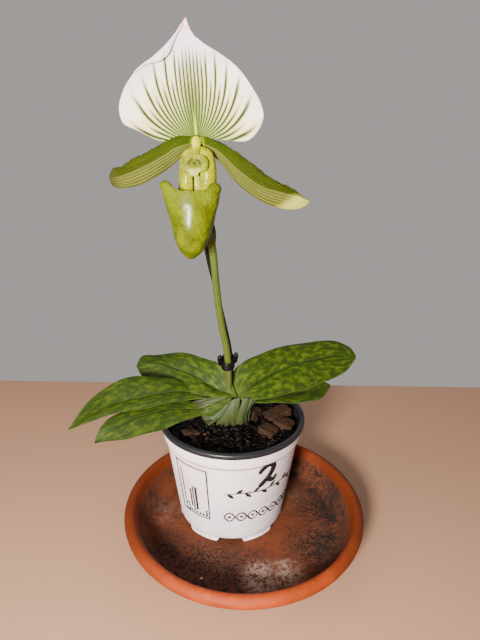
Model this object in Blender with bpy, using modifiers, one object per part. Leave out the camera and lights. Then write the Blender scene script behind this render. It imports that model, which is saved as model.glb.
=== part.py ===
"""A slipper orchid in flower, in its nursery pot, standing on a terracotta saucer.

Metres, +Z up, with the front of the flower facing -Y. The origin is the centre of the
saucer's underside. The plant is modelled piece by piece as it grows: a crown in the potting
mix, the leaves around it, a flower stem that leans forward, and the parts of the flower.
"""

import math
import random

import bmesh
import bpy
import numpy as np
from mathutils import Matrix, Vector, noise

MM = 0.001
GAP = 0.0003  # between pieces that touch
MERGE = 0.00001

SAUCER_RADIUS = 0.0750
SAUCER_HEIGHT = 0.0255
SAUCER_FLOOR = 0.0060
SAUCER_FOOT_RADIUS = 0.0580
SAUCER_RIM_WIDTH = 0.0070
SAUCER_STEPS = 48

POT_X = -0.0082
POT_Y = 0.0163
POT_RIM_RADIUS = 0.0457
POT_TOP = 0.0782
POT_RIM_HEIGHT = 0.0036
POT_COLLAR_BOTTOM = 0.0668
POT_FOOT_HEIGHT = 0.0022
POT_WALL = 0.0012
POT_BASE_RADIUS = 0.0340
POT_NECK_RADIUS = 0.0420
POT_STEPS = 48
FOOT_NOTCH_WIDTH = 0.0138
POT_FEET = 6

MIX_TOP = 0.0715
BARK_CHIPS = 22

CROWN_X = -0.0110
CROWN_Y = 0.0135
CROWN_SQUASH = 0.52
STEM_RADIUS = 0.0020
STAKE_RADIUS = 0.0011

LEAF_THICKNESS = 0.0010
PETAL_THICKNESS = 0.0007
LIP_THICKNESS = 0.0008

# The hub is the front end of the ovary, where every part of the flower meets.
HUB = Vector((-0.0248, -0.0190, 0.2390))
HUB_RADIUS = 0.0027

WHITE_PLASTIC = ("pot plastic", (0.83, 0.81, 0.80), 0.45)
BLACK_PLASTIC = ("black plastic", (0.012, 0.012, 0.014), 0.40)
TERRACOTTA = ("terracotta", (0.44, 0.15, 0.07), 0.85)
BARK_MIX = ("bark mix", (0.035, 0.022, 0.015), 0.95)
LEAF_GREEN = ("mottled leaf", (0.06, 0.16, 0.025), 0.40)
SHEATH_GREEN = ("pale sheath", (0.30, 0.42, 0.12), 0.45)
STEM_GREEN = ("stem green", (0.30, 0.36, 0.10), 0.50)
SEPAL_WHITE = ("white sepal", (0.78, 0.79, 0.66), 0.55)
PETAL_GREEN = ("green petal", (0.33, 0.42, 0.13), 0.50)
LIP_GREEN = ("glossy lip", (0.36, 0.40, 0.06), 0.22)


def clear_scene():
    for old in list(bpy.data.objects):
        bpy.data.objects.remove(old, do_unlink=True)


def new_collection(name):
    group = bpy.data.collections.new(name)
    bpy.context.scene.collection.children.link(group)
    return group


def material(look):
    name, colour, roughness = look
    found = bpy.data.materials.get(name)
    if found:
        return found
    made = bpy.data.materials.new(name)
    made.use_nodes = True
    shader = made.node_tree.nodes["Principled BSDF"]
    shader.inputs["Base Color"].default_value = (*colour, 1.0)
    shader.inputs["Roughness"].default_value = roughness
    return made


def place(made, name, look):
    """Names an object, gives it its material and moves it to the part's collection."""
    made.name = name
    made.data.name = name
    made.data.materials.clear()
    made.data.materials.append(material(look))
    for group in list(made.users_collection):
        group.objects.unlink(made)
    PARTS.objects.link(made)
    return made


def as_cutter(made, name):
    made.name = name
    made.hide_render = True
    made.display_type = "WIRE"
    for group in list(made.users_collection):
        group.objects.unlink(made)
    CUTTERS.objects.link(made)
    return made


def cut(body, cutter):
    step = body.modifiers.new("cut " + cutter.name, "BOOLEAN")
    step.operation = "DIFFERENCE"
    step.object = cutter
    return body


def track(stations, at):
    """Values on a smooth track through stations of (place, value, value, ...)."""
    table = np.array(stations, float)
    knots = table[:, 0]
    values = table[:, 1:]
    slopes = np.gradient(values, knots, axis=0)
    at = np.clip(np.atleast_1d(at), knots[0], knots[-1])
    left = np.clip(np.searchsorted(knots, at, side="right") - 1, 0, len(knots) - 2)
    width = (knots[left + 1] - knots[left])[:, None]
    u = (at - knots[left])[:, None] / width
    start = (2 * u**3 - 3 * u**2 + 1) * values[left]
    start += (u**3 - 2 * u**2 + u) * width * slopes[left]
    end = (3 * u**2 - 2 * u**3) * values[left + 1]
    end += (u**3 - u**2) * width * slopes[left + 1]
    return start + end


def through(points, count):
    """Evenly spaced places on a smooth curve through the points, all in millimetres."""
    points = np.array(points, float)
    run = np.linalg.norm(np.diff(points, axis=0), axis=1)
    chord = np.concatenate([[0.0], np.cumsum(run)])
    stations = np.column_stack([chord, points])
    fine = track(stations, np.linspace(0, chord[-1], 200))
    length = np.concatenate([[0.0], np.cumsum(np.linalg.norm(np.diff(fine, axis=0), axis=1))])
    even = np.linspace(0, length[-1], count)
    return np.column_stack([np.interp(even, length, fine[:, i]) for i in range(3)])


def unit(vectors):
    return vectors / np.linalg.norm(vectors, axis=-1, keepdims=True)


def turned(profile, steps, centre=(0.0, 0.0)):
    """A solid of revolution from a profile of (radius, height) pairs."""
    mesh = bpy.data.meshes.new("turned")
    points = [(radius, 0.0, height) for radius, height in profile]
    mesh.from_pydata(points, [(i, i + 1) for i in range(len(points) - 1)], [])
    made = bpy.data.objects.new("turned", mesh)
    made.location = (*centre, 0.0)
    PARTS.objects.link(made)
    spin = made.modifiers.new("spin", "SCREW")
    spin.steps = steps
    spin.render_steps = steps
    spin.use_merge_vertices = True
    spin.merge_threshold = MERGE
    spin.use_normal_calculate = True
    return made


def applied(made):
    """The object as one plain mesh in world space, with its modifiers applied."""
    bpy.context.view_layer.update()
    seen = made.evaluated_get(bpy.context.evaluated_depsgraph_get())
    mesh = bpy.data.meshes.new_from_object(seen)
    mesh.transform(made.matrix_world)
    bm = bmesh.new()
    bm.from_mesh(mesh)
    bmesh.ops.remove_doubles(bm, verts=bm.verts, dist=MERGE)
    bmesh.ops.recalc_face_normals(bm, faces=bm.faces)
    bm.to_mesh(mesh)
    bm.free()
    plain = bpy.data.objects.new(made.name, mesh)
    bpy.context.scene.collection.objects.link(plain)
    bpy.data.objects.remove(made, do_unlink=True)
    return plain


def tube(name, points, radii, look, steps, sides=2):
    """A round stem along points in millimetres, with its radius given at each point."""
    line = through(points, steps) * MM
    share = np.linspace(0, 1, len(radii))
    widths = np.interp(np.linspace(0, 1, steps), share, radii)
    curve = bpy.data.curves.new(name, "CURVE")
    curve.dimensions = "3D"
    curve.bevel_depth = 1.0
    curve.bevel_resolution = sides
    curve.use_fill_caps = True
    spline = curve.splines.new("POLY")
    spline.points.add(steps - 1)
    for point, at, radius in zip(spline.points, line, widths):
        point.co = (*at, 1.0)
        point.radius = radius
    made = bpy.data.objects.new(name, curve)
    PARTS.objects.link(made)
    curve.materials.append(material(look))
    return made


def blade(name, midrib, margin, halves, keel, look, thickness=LEAF_THICKNESS,
          wave=(0.0, 3.0), sweep=((0, 0), (1, 0)), rows=16, columns=6):
    """A leaf or petal: a grid bent along its midrib, then given thickness.

    midrib is a list of points in millimetres. margin holds stations of the direction of the
    right-hand margin, halves of the left and right half widths, keel of how far the margins
    rise over the midrib as a share of the half width, and sweep of how far they trail back.
    """
    line = through(midrib, rows + 1)
    share = np.linspace(0, 1, rows + 1)
    along = unit(np.gradient(line, axis=0))
    side = track(margin, share)
    side -= along * np.sum(side * along, axis=1, keepdims=True)
    side = unit(side)
    face = np.cross(side, along)
    widths = track(halves, share).clip(0.3)
    rise = track(keel, share)[:, 0]
    trail = track(sweep, share)[:, 0]
    bpy.ops.mesh.primitive_grid_add(x_subdivisions=columns, y_subdivisions=rows, size=2)
    made = bpy.context.object
    for vertex in made.data.vertices:
        across = vertex.co.x
        row = round((vertex.co.y + 1) / 2 * rows)
        half = widths[row][0 if across < 0 else 1]
        ripple = wave[0] * across**2 * math.sin(2 * math.pi * wave[1] * share[row] + across)
        place_mm = line[row] + side[row] * across * half
        place_mm += face[row] * (rise[row] * abs(across) ** 1.3 * half + ripple)
        place_mm -= along[row] * trail[row] * across**2
        vertex.co = place_mm * MM
    bm = bmesh.new()
    bm.from_mesh(made.data)
    bmesh.ops.triangulate(bm, faces=bm.faces)
    bm.to_mesh(made.data)
    bm.free()
    made.data.shade_smooth()
    shell = made.modifiers.new("thickness", "SOLIDIFY")
    shell.thickness = thickness
    shell.offset = 0.0
    return place(made, name, look)


def joined(name, pieces, look):
    """One body from pieces that run into each other."""
    group = bpy.data.collections.new("joining")
    CUTTERS.children.link(group)
    first = pieces[0]
    for piece in pieces[1:]:
        for old in list(piece.users_collection):
            old.objects.unlink(piece)
        group.objects.link(piece)
    union = first.modifiers.new("join", "BOOLEAN")
    union.operation = "UNION"
    union.operand_type = "COLLECTION"
    union.collection = group
    whole = applied(first)
    for piece in list(group.objects):
        bpy.data.objects.remove(piece, do_unlink=True)
    bpy.data.collections.remove(group)
    return place(whole, name, look)


def box(size, centre, turn=0.0, tilt=0.0):
    bpy.ops.mesh.primitive_cube_add(size=1)
    made = bpy.context.object
    made.data.transform(Matrix.Diagonal((*size, 1.0)))
    made.location = centre
    made.rotation_euler = (0.0, tilt, turn)
    return made


def build_saucer():
    inner = SAUCER_RADIUS - SAUCER_RIM_WIDTH
    outer = SAUCER_RADIUS
    top = SAUCER_HEIGHT
    profile = [
        (0.0, SAUCER_FLOOR),
        (inner - 0.0100, SAUCER_FLOOR),
        (inner - 0.0066, SAUCER_FLOOR + 0.0012),
        (inner - 0.0046, SAUCER_FLOOR + 0.0040),
        (inner - 0.0002, top - 0.0030),
        (inner + 0.0012, top - 0.0007),
        (inner + 0.0034, top),
        (outer - 0.0012, top - 0.0014),
        (outer, top - 0.0036),
        (outer - 0.0004, top - 0.0058),
        (outer - 0.0020, top - 0.0072),
        (outer - 0.0045, top - 0.0084),
        (SAUCER_FOOT_RADIUS + 0.0006, 0.0008),
        (SAUCER_FOOT_RADIUS - 0.0004, 0.0),
        (0.0, 0.0),
    ]
    place(turned(profile, SAUCER_STEPS), "saucer", TERRACOTTA)


def pot_radius(height):
    """The outer radius of the tapered wall below the collar."""
    bottom = SAUCER_FLOOR + GAP + POT_FOOT_HEIGHT
    share = (height - bottom) / (POT_COLLAR_BOTTOM - bottom)
    return POT_BASE_RADIUS + share * (POT_NECK_RADIUS - POT_BASE_RADIUS)


def build_pot():
    foot = SAUCER_FLOOR + GAP
    edge = foot + POT_FOOT_HEIGHT
    plate = edge + 0.0015
    rim = POT_RIM_RADIUS
    collar = rim - 0.0020
    under_rim = POT_TOP - POT_RIM_HEIGHT
    inside = rim - 0.0036
    profile = [
        (0.0, plate + POT_WALL),
        (pot_radius(plate) - POT_WALL, plate + POT_WALL),
        (pot_radius(POT_COLLAR_BOTTOM) - POT_WALL, POT_COLLAR_BOTTOM),
        (inside, POT_COLLAR_BOTTOM + 0.0012),
        (inside + 0.0004, POT_TOP - 0.0006),
        (inside + 0.0010, POT_TOP),
        (rim - 0.0010, POT_TOP),
        (rim, POT_TOP - 0.0010),
        (rim - 0.0002, under_rim + 0.0004),
        (collar, under_rim),
        (collar - 0.0004, POT_COLLAR_BOTTOM + 0.0004),
        (collar - 0.0012, POT_COLLAR_BOTTOM),
        (pot_radius(POT_COLLAR_BOTTOM), POT_COLLAR_BOTTOM - 0.0006),
        (POT_BASE_RADIUS, edge),
        (POT_BASE_RADIUS - 0.0011, edge - 0.0002),
        (POT_BASE_RADIUS - 0.0015, foot),
        (POT_BASE_RADIUS - 0.0036, foot),
        (POT_BASE_RADIUS - 0.0034, plate),
        (0.0, plate),
    ]
    pot = place(turned(profile, POT_STEPS, (POT_X, POT_Y)), "pot", WHITE_PLASTIC)
    height = POT_FOOT_HEIGHT + 0.0010
    middle = edge - height / 2
    bars = []
    for i in range(POT_FEET // 2):
        turn = math.radians(90 + 360 / POT_FEET * i)
        bars.append(box((0.090, FOOT_NOTCH_WIDTH, height), (POT_X, POT_Y, middle), turn))
    star = joined("foot_notches", bars, WHITE_PLASTIC)
    cut(pot, as_cutter(star, "foot_notches"))


def crown_profile(grow=0.0):
    top = 0.0895 + grow
    return [
        (0.0, top),
        (0.0070 + grow, top - 0.0004),
        (0.0125 + grow, top - 0.0026),
        (0.0143 + grow, top - 0.0066),
        (0.0128 + grow, 0.0770),
        (0.0114 + grow, 0.0720),
        (0.0090 + grow, 0.0660 - grow),
        (0.0, 0.0660 - grow),
    ]


def crown_body(grow=0.0):
    """The short, flattened stem and the fan of old leaf sheaths around it."""
    made = turned(crown_profile(grow), 24, (CROWN_X, CROWN_Y))
    made.scale = (1.0, CROWN_SQUASH, 1.0)
    return applied(made)


def build_crown():
    crown = place(crown_body(), "crown", SHEATH_GREEN)
    bpy.ops.mesh.primitive_cylinder_add(vertices=20, radius=STEM_RADIUS + GAP, depth=0.010)
    hole = bpy.context.object
    hole.location = (-0.0107, 0.0138, 0.0890)
    cut(crown, as_cutter(hole, "stem_socket"))


def build_mix():
    """The potting mix fills the pot, with coarse bark chips standing out of its top."""
    base = SAUCER_FLOOR + POT_FOOT_HEIGHT + 0.0015 + POT_WALL + 2 * GAP
    low = pot_radius(base) - POT_WALL - 2 * GAP
    high = pot_radius(0.0660) - POT_WALL - 2 * GAP
    profile = [(0.0, MIX_TOP)]
    profile += [(ring, MIX_TOP) for ring in (0.008, 0.016, 0.024, 0.032, 0.038)]
    profile += [(high, MIX_TOP - 0.0030), (high, 0.0640), (low, base), (0.0, base)]
    plug = applied(turned(profile, 32, (POT_X, POT_Y)))
    for vertex in plug.data.vertices:
        if vertex.co.z > MIX_TOP - 0.0005:
            vertex.co.z += 0.0016 * noise.noise(vertex.co * 160)
    chance = random.Random(7)
    chips = [plug]
    for i in range(BARK_CHIPS):
        angle = i * math.radians(137.5)
        reach = 0.0345 * math.sqrt((i + 0.5) / BARK_CHIPS)
        size = [chance.uniform(0.004, 0.009), chance.uniform(0.003, 0.006), 0.0040]
        x = POT_X + reach * math.cos(angle)
        y = POT_Y + reach * math.sin(angle)
        chip = box(size, (x, y, MIX_TOP + 0.0004), angle * 1.7, chance.uniform(-0.4, 0.4))
        chips.append(chip)
    # Two large pieces of bark lie at the right, leaning on the rim side of the mix.
    chips.append(box((0.015, 0.009, 0.0060), (0.0200, 0.0220, 0.0745), 0.5, -0.25))
    chips.append(box((0.011, 0.010, 0.0060), (0.0140, 0.0040, 0.0735), -0.6, 0.20))
    mix = joined("potting_mix", chips, BARK_MIX)
    cut(mix, as_cutter(crown_body(2 * GAP), "crown_pocket"))
    bpy.ops.mesh.primitive_cylinder_add(vertices=16, radius=STAKE_RADIUS + GAP, depth=0.030)
    hole = bpy.context.object
    hole.location = (-0.0100, 0.0245, 0.0745)
    cut(mix, as_cutter(hole, "stake_hole"))


def build_leaves():
    """Five grown leaves in two ranks, the upper pair over the lower ones, and a young one."""
    blade(
        "leaf_right_upper",
        [(-5.0, 14.0, 91.0), (14.0, 22.5, 99.0), (33.0, 31.5, 103.0), (55.0, 43.5, 103.5),
         (76.5, 53.0, 99.5)],
        [(0, 0.35, -0.92, -0.10), (0.3, 0.42, -0.78, -0.45), (1, 0.45, -0.76, -0.46)],
        [(0, 6.5, 5.0), (0.1, 10.5, 10.0), (0.25, 13.2, 15.5), (0.45, 15.6, 19.0),
         (0.7, 16.8, 19.5), (0.88, 13.0, 13.5), (0.96, 7.5, 7.0), (1, 0.6, 0.6)],
        [(0, 0.55), (0.3, 0.18), (1, 0.0)],
        LEAF_GREEN, wave=(0.5, 2.5), rows=18,
    )
    blade(
        "leaf_right_lower",
        [(4.0, 14.5, 82.0), (15.0, 19.0, 84.5), (30.0, 26.5, 85.5), (43.0, 33.0, 85.0),
         (54.5, 38.5, 83.0)],
        [(0, 0.35, -0.92, -0.10), (1, 0.45, -0.86, -0.20)],
        [(0, 4.5, 4.5), (0.3, 9.0, 9.0), (0.6, 9.5, 9.5), (0.85, 6.0, 6.0), (1, 0.6, 0.6)],
        [(0, 0.5), (0.5, 0.15), (1, 0.1)],
        LEAF_GREEN, wave=(0.4, 2.0), rows=14,
    )
    blade(
        "leaf_left_upper",
        [(-15.0, 14.0, 91.0), (-25.0, 17.5, 98.5), (-40.0, 23.5, 103.0), (-56.0, 29.0, 104.0),
         (-70.5, 31.5, 100.5)],
        [(0, 0.30, 0.94, 0.10), (0.3, 0.40, 0.86, 0.30), (1, 0.4, 0.86, 0.30)],
        [(0, 5.0, 6.0), (0.2, 11.0, 11.8), (0.5, 14.0, 11.8), (0.75, 13.0, 10.2),
         (0.9, 8.5, 7.0), (1, 0.6, 0.6)],
        [(0, 0.55), (0.4, 0.28), (1, 0.05)],
        LEAF_GREEN, wave=(0.4, 2.2), rows=16,
    )
    blade(
        "leaf_left_middle",
        [(-26.6, 13.2, 84.5), (-35.0, 12.0, 87.5), (-48.0, 6.5, 90.5), (-64.0, -2.0, 92.5),
         (-81.0, -12.0, 92.5), (-97.0, -23.0, 89.0)],
        [(0, 0.35, 0.93, 0.10), (0.4, 0.38, 0.80, 0.46), (0.7, 0.35, 0.70, 0.64),
         (1, 0.35, 0.70, 0.60)],
        [(0, 4.5, 4.5), (0.25, 7.0, 7.5), (0.42, 8.5, 9.5), (0.62, 8.5, 15.5),
         (0.78, 7.0, 11.8), (0.92, 3.5, 5.2), (1, 0.6, 0.6)],
        [(0, 0.5), (0.4, 0.3), (1, 0.2)],
        LEAF_GREEN, wave=(0.4, 2.5), rows=18,
    )
    blade(
        "leaf_left_lower",
        [(-26.2, 11.0, 78.5), (-34.5, 8.5, 81.5), (-47.0, 2.0, 84.0), (-61.0, -7.0, 84.5),
         (-74.0, -15.0, 83.5), (-84.0, -23.0, 80.5)],
        [(0, 0.40, 0.90, 0.10), (0.5, 0.50, 0.82, 0.25), (1, 0.5, 0.82, 0.25)],
        [(0, 4.0, 4.0), (0.25, 9.5, 9.5), (0.55, 11.5, 11.0), (0.8, 8.5, 8.5), (1, 0.6, 0.6)],
        [(0, 0.5), (0.4, 0.2), (1, 0.1)],
        LEAF_GREEN, wave=(0.3, 2.0), rows=16,
    )
    blade(
        "leaf_young",
        [(-13.0, 4.6, 83.5), (-18.0, 3.4, 86.5), (-24.0, 1.6, 87.0), (-30.0, 0.6, 85.0)],
        [(0, 0.20, 0.95, 0.30), (1, 0.25, 0.95, 0.20)],
        [(0, 2.5, 2.5), (0.5, 3.6, 3.6), (1, 0.6, 0.6)],
        [(0, 0.5), (1, 0.2)],
        LEAF_GREEN, rows=8, columns=4,
    )


def build_stem():
    radius = STEM_RADIUS
    tube(
        "flower_stem",
        [(-10.7, 13.8, 85.0), (-10.7, 13.6, 97.0), (-10.7, 11.0, 110.0), (-11.5, 7.4, 124.0),
         (-14.1, 1.6, 141.0), (-16.5, -6.0, 163.0), (-18.2, -13.0, 186.0),
         (-18.9, -14.8, 194.0)],
        [radius, radius, radius, radius * 0.95, radius * 0.9, radius * 1.05],
        STEM_GREEN, 20,
    )
    tube(
        "ovary",
        [(-19.0, -15.3, 196.4), (-19.8, -15.0, 204.0), (-21.2, -12.4, 216.0),
         (-23.4, -9.8, 228.0), (-24.6, -11.2, 236.2), (-24.8, -15.0, 239.0),
         (HUB.x / MM, HUB.y / MM, HUB.z / MM)],
        [0.0017, 0.0022, 0.0026, 0.0026, 0.0024, HUB_RADIUS],
        STEM_GREEN, 18,
    )
    blade(
        "bract",
        [(-18.3, -11.2, 189.5), (-18.9, -12.0, 196.5), (-19.6, -12.0, 202.0),
         (-20.5, -10.2, 208.0)],
        [(0, 1.0, 0.0, 0.0), (1, 1.0, 0.0, 0.0)],
        [(0, 1.6, 1.6), (0.4, 2.8, 2.8), (1, 0.4, 0.4)],
        [(0, 0.05), (1, 0.05)],
        STEM_GREEN, thickness=PETAL_THICKNESS, rows=8, columns=4,
    )
    tube(
        "stake",
        [(-10.0, 24.6, 66.5), (-10.0, 24.4, 73.0), (-10.0, 22.9, 82.0), (-9.8, 18.9, 97.0),
         (-9.3, 14.4, 113.0), (-9.8, 11.2, 124.0), (-12.6, 5.4, 143.0), (-15.4, -0.8, 163.0),
         (-19.8, -6.8, 181.0), (-22.4, -10.2, 192.0)],
        [STAKE_RADIUS, STAKE_RADIUS],
        BLACK_PLASTIC, 20,
    )


def build_clip():
    """The small two-eared clip that holds the stem to its stake."""
    bpy.ops.mesh.primitive_torus_add(
        major_segments=20, minor_segments=8, major_radius=0.0040, minor_radius=0.0008
    )
    ring = bpy.context.object
    ring.data.transform(Matrix.Diagonal((0.94, 1.40, 2.6, 1.0)))
    ring.location = (-0.0102, 0.0118, 0.1152)
    ring.rotation_euler = (math.radians(14), 0.0, math.radians(-12))
    left = box((0.0042, 0.0026, 0.0030), (-0.0154, 0.0112, 0.1172), 0.0, 0.45)
    right = box((0.0042, 0.0026, 0.0030), (-0.0051, 0.0122, 0.1176), 0.0, -0.45)
    joined("stem_clip", [ring, left, right], BLACK_PLASTIC)


def build_sepals():
    hub = HUB / MM
    blade(
        "dorsal_sepal",
        [(hub.x, hub.y - 1.0, hub.z + 3.3), (hub.x - 0.2, hub.y - 3.6, 252.0),
         (hub.x - 0.6, hub.y - 5.0, 262.0), (hub.x - 1.8, hub.y - 6.0, 274.0),
         (hub.x - 3.4, hub.y - 6.5, 285.6)],
        [(0, 1.0, 0.0, 0.0), (1, 1.0, 0.05, 0.1)],
        [(0, 12.0, 12.0), (0.07, 26.0, 24.5), (0.18, 31.8, 29.4), (0.32, 31.4, 27.3),
         (0.44, 28.8, 24.2), (0.53, 25.8, 20.5), (0.69, 18.0, 12.2), (0.8, 10.4, 5.6),
         (0.88, 5.4, 2.6), (1, 0.4, 0.4)],
        [(0, 0.06), (0.3, 0.12), (0.7, 0.10), (1, 0.2)],
        SEPAL_WHITE, thickness=PETAL_THICKNESS, sweep=((0, 4.0), (0.3, 2.0), (1, 0)),
        rows=18, columns=10,
    )
    blade(
        "lower_sepal",
        [(hub.x, hub.y - 0.4, hub.z - 3.6), (hub.x, hub.y + 0.8, 229.0),
         (hub.x - 0.6, hub.y - 0.6, 218.0), (hub.x - 1.4, hub.y - 2.0, 206.0),
         (hub.x - 2.2, hub.y - 3.0, 196.0)],
        [(0, -1.0, 0.0, 0.0), (1, -1.0, 0.0, 0.0)],
        [(0, 2.4, 2.4), (0.25, 7.0, 7.0), (0.55, 8.4, 8.4), (0.85, 5.0, 5.0), (1, 0.5, 0.5)],
        [(0, -0.1), (0.4, -0.2), (1, -0.1)],
        PETAL_GREEN, thickness=PETAL_THICKNESS, rows=14, columns=6,
    )


def build_petals():
    hub = HUB / MM
    blade(
        "petal_left",
        [(hub.x - 3.4, hub.y - 1.2, hub.z + 0.2), (-32.0, -22.6, 236.2), (-44.6, -24.0, 228.4),
         (-56.0, -23.0, 223.8), (-64.6, -21.0, 221.6)],
        [(0, 0.2, -0.5, 0.8), (0.3, 0.30, -0.35, 0.90), (1, 0.30, -0.25, 0.92)],
        [(0, 2.2, 1.8), (0.2, 4.2, 4.2), (0.5, 6.6, 6.2), (0.75, 6.2, 5.2), (0.93, 4.2, 3.8),
         (1, 1.6, 1.6)],
        [(0, 0.3), (0.4, 0.35), (1, 0.2)],
        PETAL_GREEN, thickness=PETAL_THICKNESS, wave=(0.3, 3.0), rows=18,
    )
    blade(
        "petal_right",
        [(hub.x + 3.4, hub.y - 1.2, hub.z + 0.2), (-11.6, -23.8, 231.4), (1.8, -24.6, 221.4),
         (14.0, -24.0, 215.6), (27.6, -23.0, 212.8)],
        [(0, 0.2, 0.5, -0.8), (0.3, -0.50, 0.25, -0.85), (1, -0.30, 0.2, -0.95)],
        [(0, 2.0, 2.2), (0.12, 4.6, 3.2), (0.25, 6.0, 4.4), (0.5, 6.0, 6.4), (0.75, 5.0, 5.6),
         (0.92, 3.2, 3.2), (1, 0.6, 0.6)],
        [(0, 0.3), (0.4, 0.35), (1, 0.2)],
        PETAL_GREEN, thickness=PETAL_THICKNESS, wave=(0.3, 3.0), rows=20,
    )


def pouch_ring(depth, angle):
    """A place on the slipper, from its mouth at depth 0 down to its toe at depth 1."""
    ear = abs(math.cos(angle)) ** 8
    back = max(math.sin(angle), 0.0)
    mouth = 217.2 + 4.2 * ear + 3.0 * back**2
    toe = 188.0
    fall = 1 - (1 - depth) ** 1.6
    x, y, wide, deep = track(
        [(0, -26.8, -30.6, 13.0, 9.6), (0.17, -26.1, -31.2, 11.4, 9.8),
         (0.36, -26.0, -31.6, 10.0, 9.4), (0.58, -26.0, -32.0, 8.7, 8.4),
         (0.77, -26.2, -32.2, 6.4, 6.6), (0.94, -26.5, -32.3, 3.1, 3.4),
         (1, -26.6, -32.3, 0.9, 0.9)],
        fall,
    )[0]
    height = mouth + (toe - mouth) * fall
    flare = 1 + 0.09 * ear * (1 - depth) ** 6
    return (
        (x + wide * flare * math.cos(angle)) * MM,
        (y + deep * math.sin(angle)) * MM,
        height * MM,
    )


def build_lip():
    """The slipper: a hollow pouch, and the folded claw that joins it to the hub."""
    around = 24
    down = 10
    bm = bmesh.new()
    rings = []
    for j in range(down + 1):
        turns = [2 * math.pi * i / around for i in range(around)]
        rings.append([bm.verts.new(pouch_ring(j / down, turn)) for turn in turns])
    for upper, lower in zip(rings, rings[1:]):
        for i in range(around):
            after = (i + 1) % around
            bm.faces.new((upper[i], lower[i], lower[after], upper[after]))
    bm.faces.new(rings[-1][::-1])
    bmesh.ops.recalc_face_normals(bm, faces=bm.faces)
    mesh = bpy.data.meshes.new("pouch")
    bm.to_mesh(mesh)
    bm.free()
    pouch = bpy.data.objects.new("pouch", mesh)
    PARTS.objects.link(pouch)
    shell = pouch.modifiers.new("thickness", "SOLIDIFY")
    shell.thickness = LIP_THICKNESS
    shell.offset = -1.0

    rows = 6
    columns = 14
    bpy.ops.mesh.primitive_grid_add(x_subdivisions=columns, y_subdivisions=rows, size=2)
    claw = bpy.context.object
    for vertex in claw.data.vertices:
        # The sheet wraps from one edge of the slit, around the back, to the other edge.
        turn = math.radians(90 + 162 * vertex.co.x)
        up = (vertex.co.y + 1) / 2
        back = (1 + math.sin(turn)) / 2
        x, y, wide, deep, height = track(
            [(0, -25.6, -26.0, 6.6, 3.6, 212.0), (0.5, -24.4, -26.0, 7.9, 4.2, 221.5),
             (1, -24.6, -25.4, 6.6, 3.0, 230.5)],
            up,
        )[0]
        vertex.co = (
            (x + wide * math.cos(turn)) * MM,
            (y + deep * math.sin(turn)) * MM,
            (height + 4.6 * back**10 * up) * MM,
        )
    shell = claw.modifiers.new("thickness", "SOLIDIFY")
    shell.thickness = LIP_THICKNESS
    shell.offset = 0.0
    joined("lip", [applied(pouch), applied(claw)], LIP_GREEN)


def build_column():
    """The column bends down from the hub and carries the shield-shaped staminode."""
    hub = HUB / MM
    tube(
        "column",
        [(hub.x, hub.y - 0.3, hub.z), (hub.x - 0.1, hub.y - 4.0, 238.6),
         (hub.x - 0.4, hub.y - 8.0, 236.0), (hub.x - 0.6, hub.y - 10.0, 232.4)],
        [0.0021, 0.0022, 0.0024, 0.0020],
        LIP_GREEN, 8,
    )
    outline = bpy.data.curves.new("staminode", "CURVE")
    outline.dimensions = "2D"
    outline.fill_mode = "BOTH"
    outline.extrude = 0.0006
    shape = outline.splines.new("POLY")
    count = 28
    shape.points.add(count - 1)
    for i in range(count):
        turn = 2 * math.pi * i / count
        notch = 1 - 0.34 * math.exp(-((turn - 1.5 * math.pi) / 0.32) ** 2)
        point = (0.0057 * math.cos(turn) * notch, 0.0048 * math.sin(turn) * notch, 0.0, 1.0)
        shape.points[i].co = point
    shape.use_cyclic_u = True
    staminode = bpy.data.objects.new("staminode", outline)
    bpy.context.scene.collection.objects.link(staminode)
    staminode.location = (-0.0256, -0.0318, 0.2280)
    staminode.rotation_euler = (math.radians(74), 0.0, 0.0)
    place(staminode, "staminode", LIP_GREEN)


clear_scene()
PARTS = new_collection("slipper_orchid")
CUTTERS = new_collection("cutters")
build_saucer()
build_pot()
build_mix()
build_crown()
build_leaves()
build_stem()
build_clip()
build_sepals()
build_petals()
build_lip()
build_column()
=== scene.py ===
"""The looks of a slipper orchid in flower, in a nursery pot on a terracotta saucer.

Metres, +Z up, with the front of the flower facing -Y, in the same frame as the solids. Each
piece is a finer one of the solid that it stands for, built from the same numbers, with the
veins, folds, hairs, stains and gloss of the real one.
"""

import random
from math import cos, hypot, pi, radians, sin, sqrt

import bmesh
import bpy
import numpy as np
from mathutils import Matrix, Vector, noise


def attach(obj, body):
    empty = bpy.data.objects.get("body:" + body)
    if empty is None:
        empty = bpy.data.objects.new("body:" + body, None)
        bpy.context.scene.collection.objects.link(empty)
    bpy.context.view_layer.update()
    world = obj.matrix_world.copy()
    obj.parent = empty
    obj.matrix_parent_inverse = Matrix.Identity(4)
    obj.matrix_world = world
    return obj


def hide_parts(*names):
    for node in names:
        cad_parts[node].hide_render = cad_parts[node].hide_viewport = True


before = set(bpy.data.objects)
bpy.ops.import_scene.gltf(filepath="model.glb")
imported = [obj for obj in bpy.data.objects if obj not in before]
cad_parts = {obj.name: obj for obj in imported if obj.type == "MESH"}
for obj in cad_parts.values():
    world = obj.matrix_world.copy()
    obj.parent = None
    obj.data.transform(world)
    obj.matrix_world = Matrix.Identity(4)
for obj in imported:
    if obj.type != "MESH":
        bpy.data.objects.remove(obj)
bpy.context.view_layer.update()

MM = 0.001
MAP = "across_along"

SAUCER_RADIUS = 0.075
SAUCER_HEIGHT = 0.0255
SAUCER_FLOOR = 0.006
SAUCER_FOOT_RADIUS = 0.058
SAUCER_RIM_WIDTH = 0.007

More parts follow.
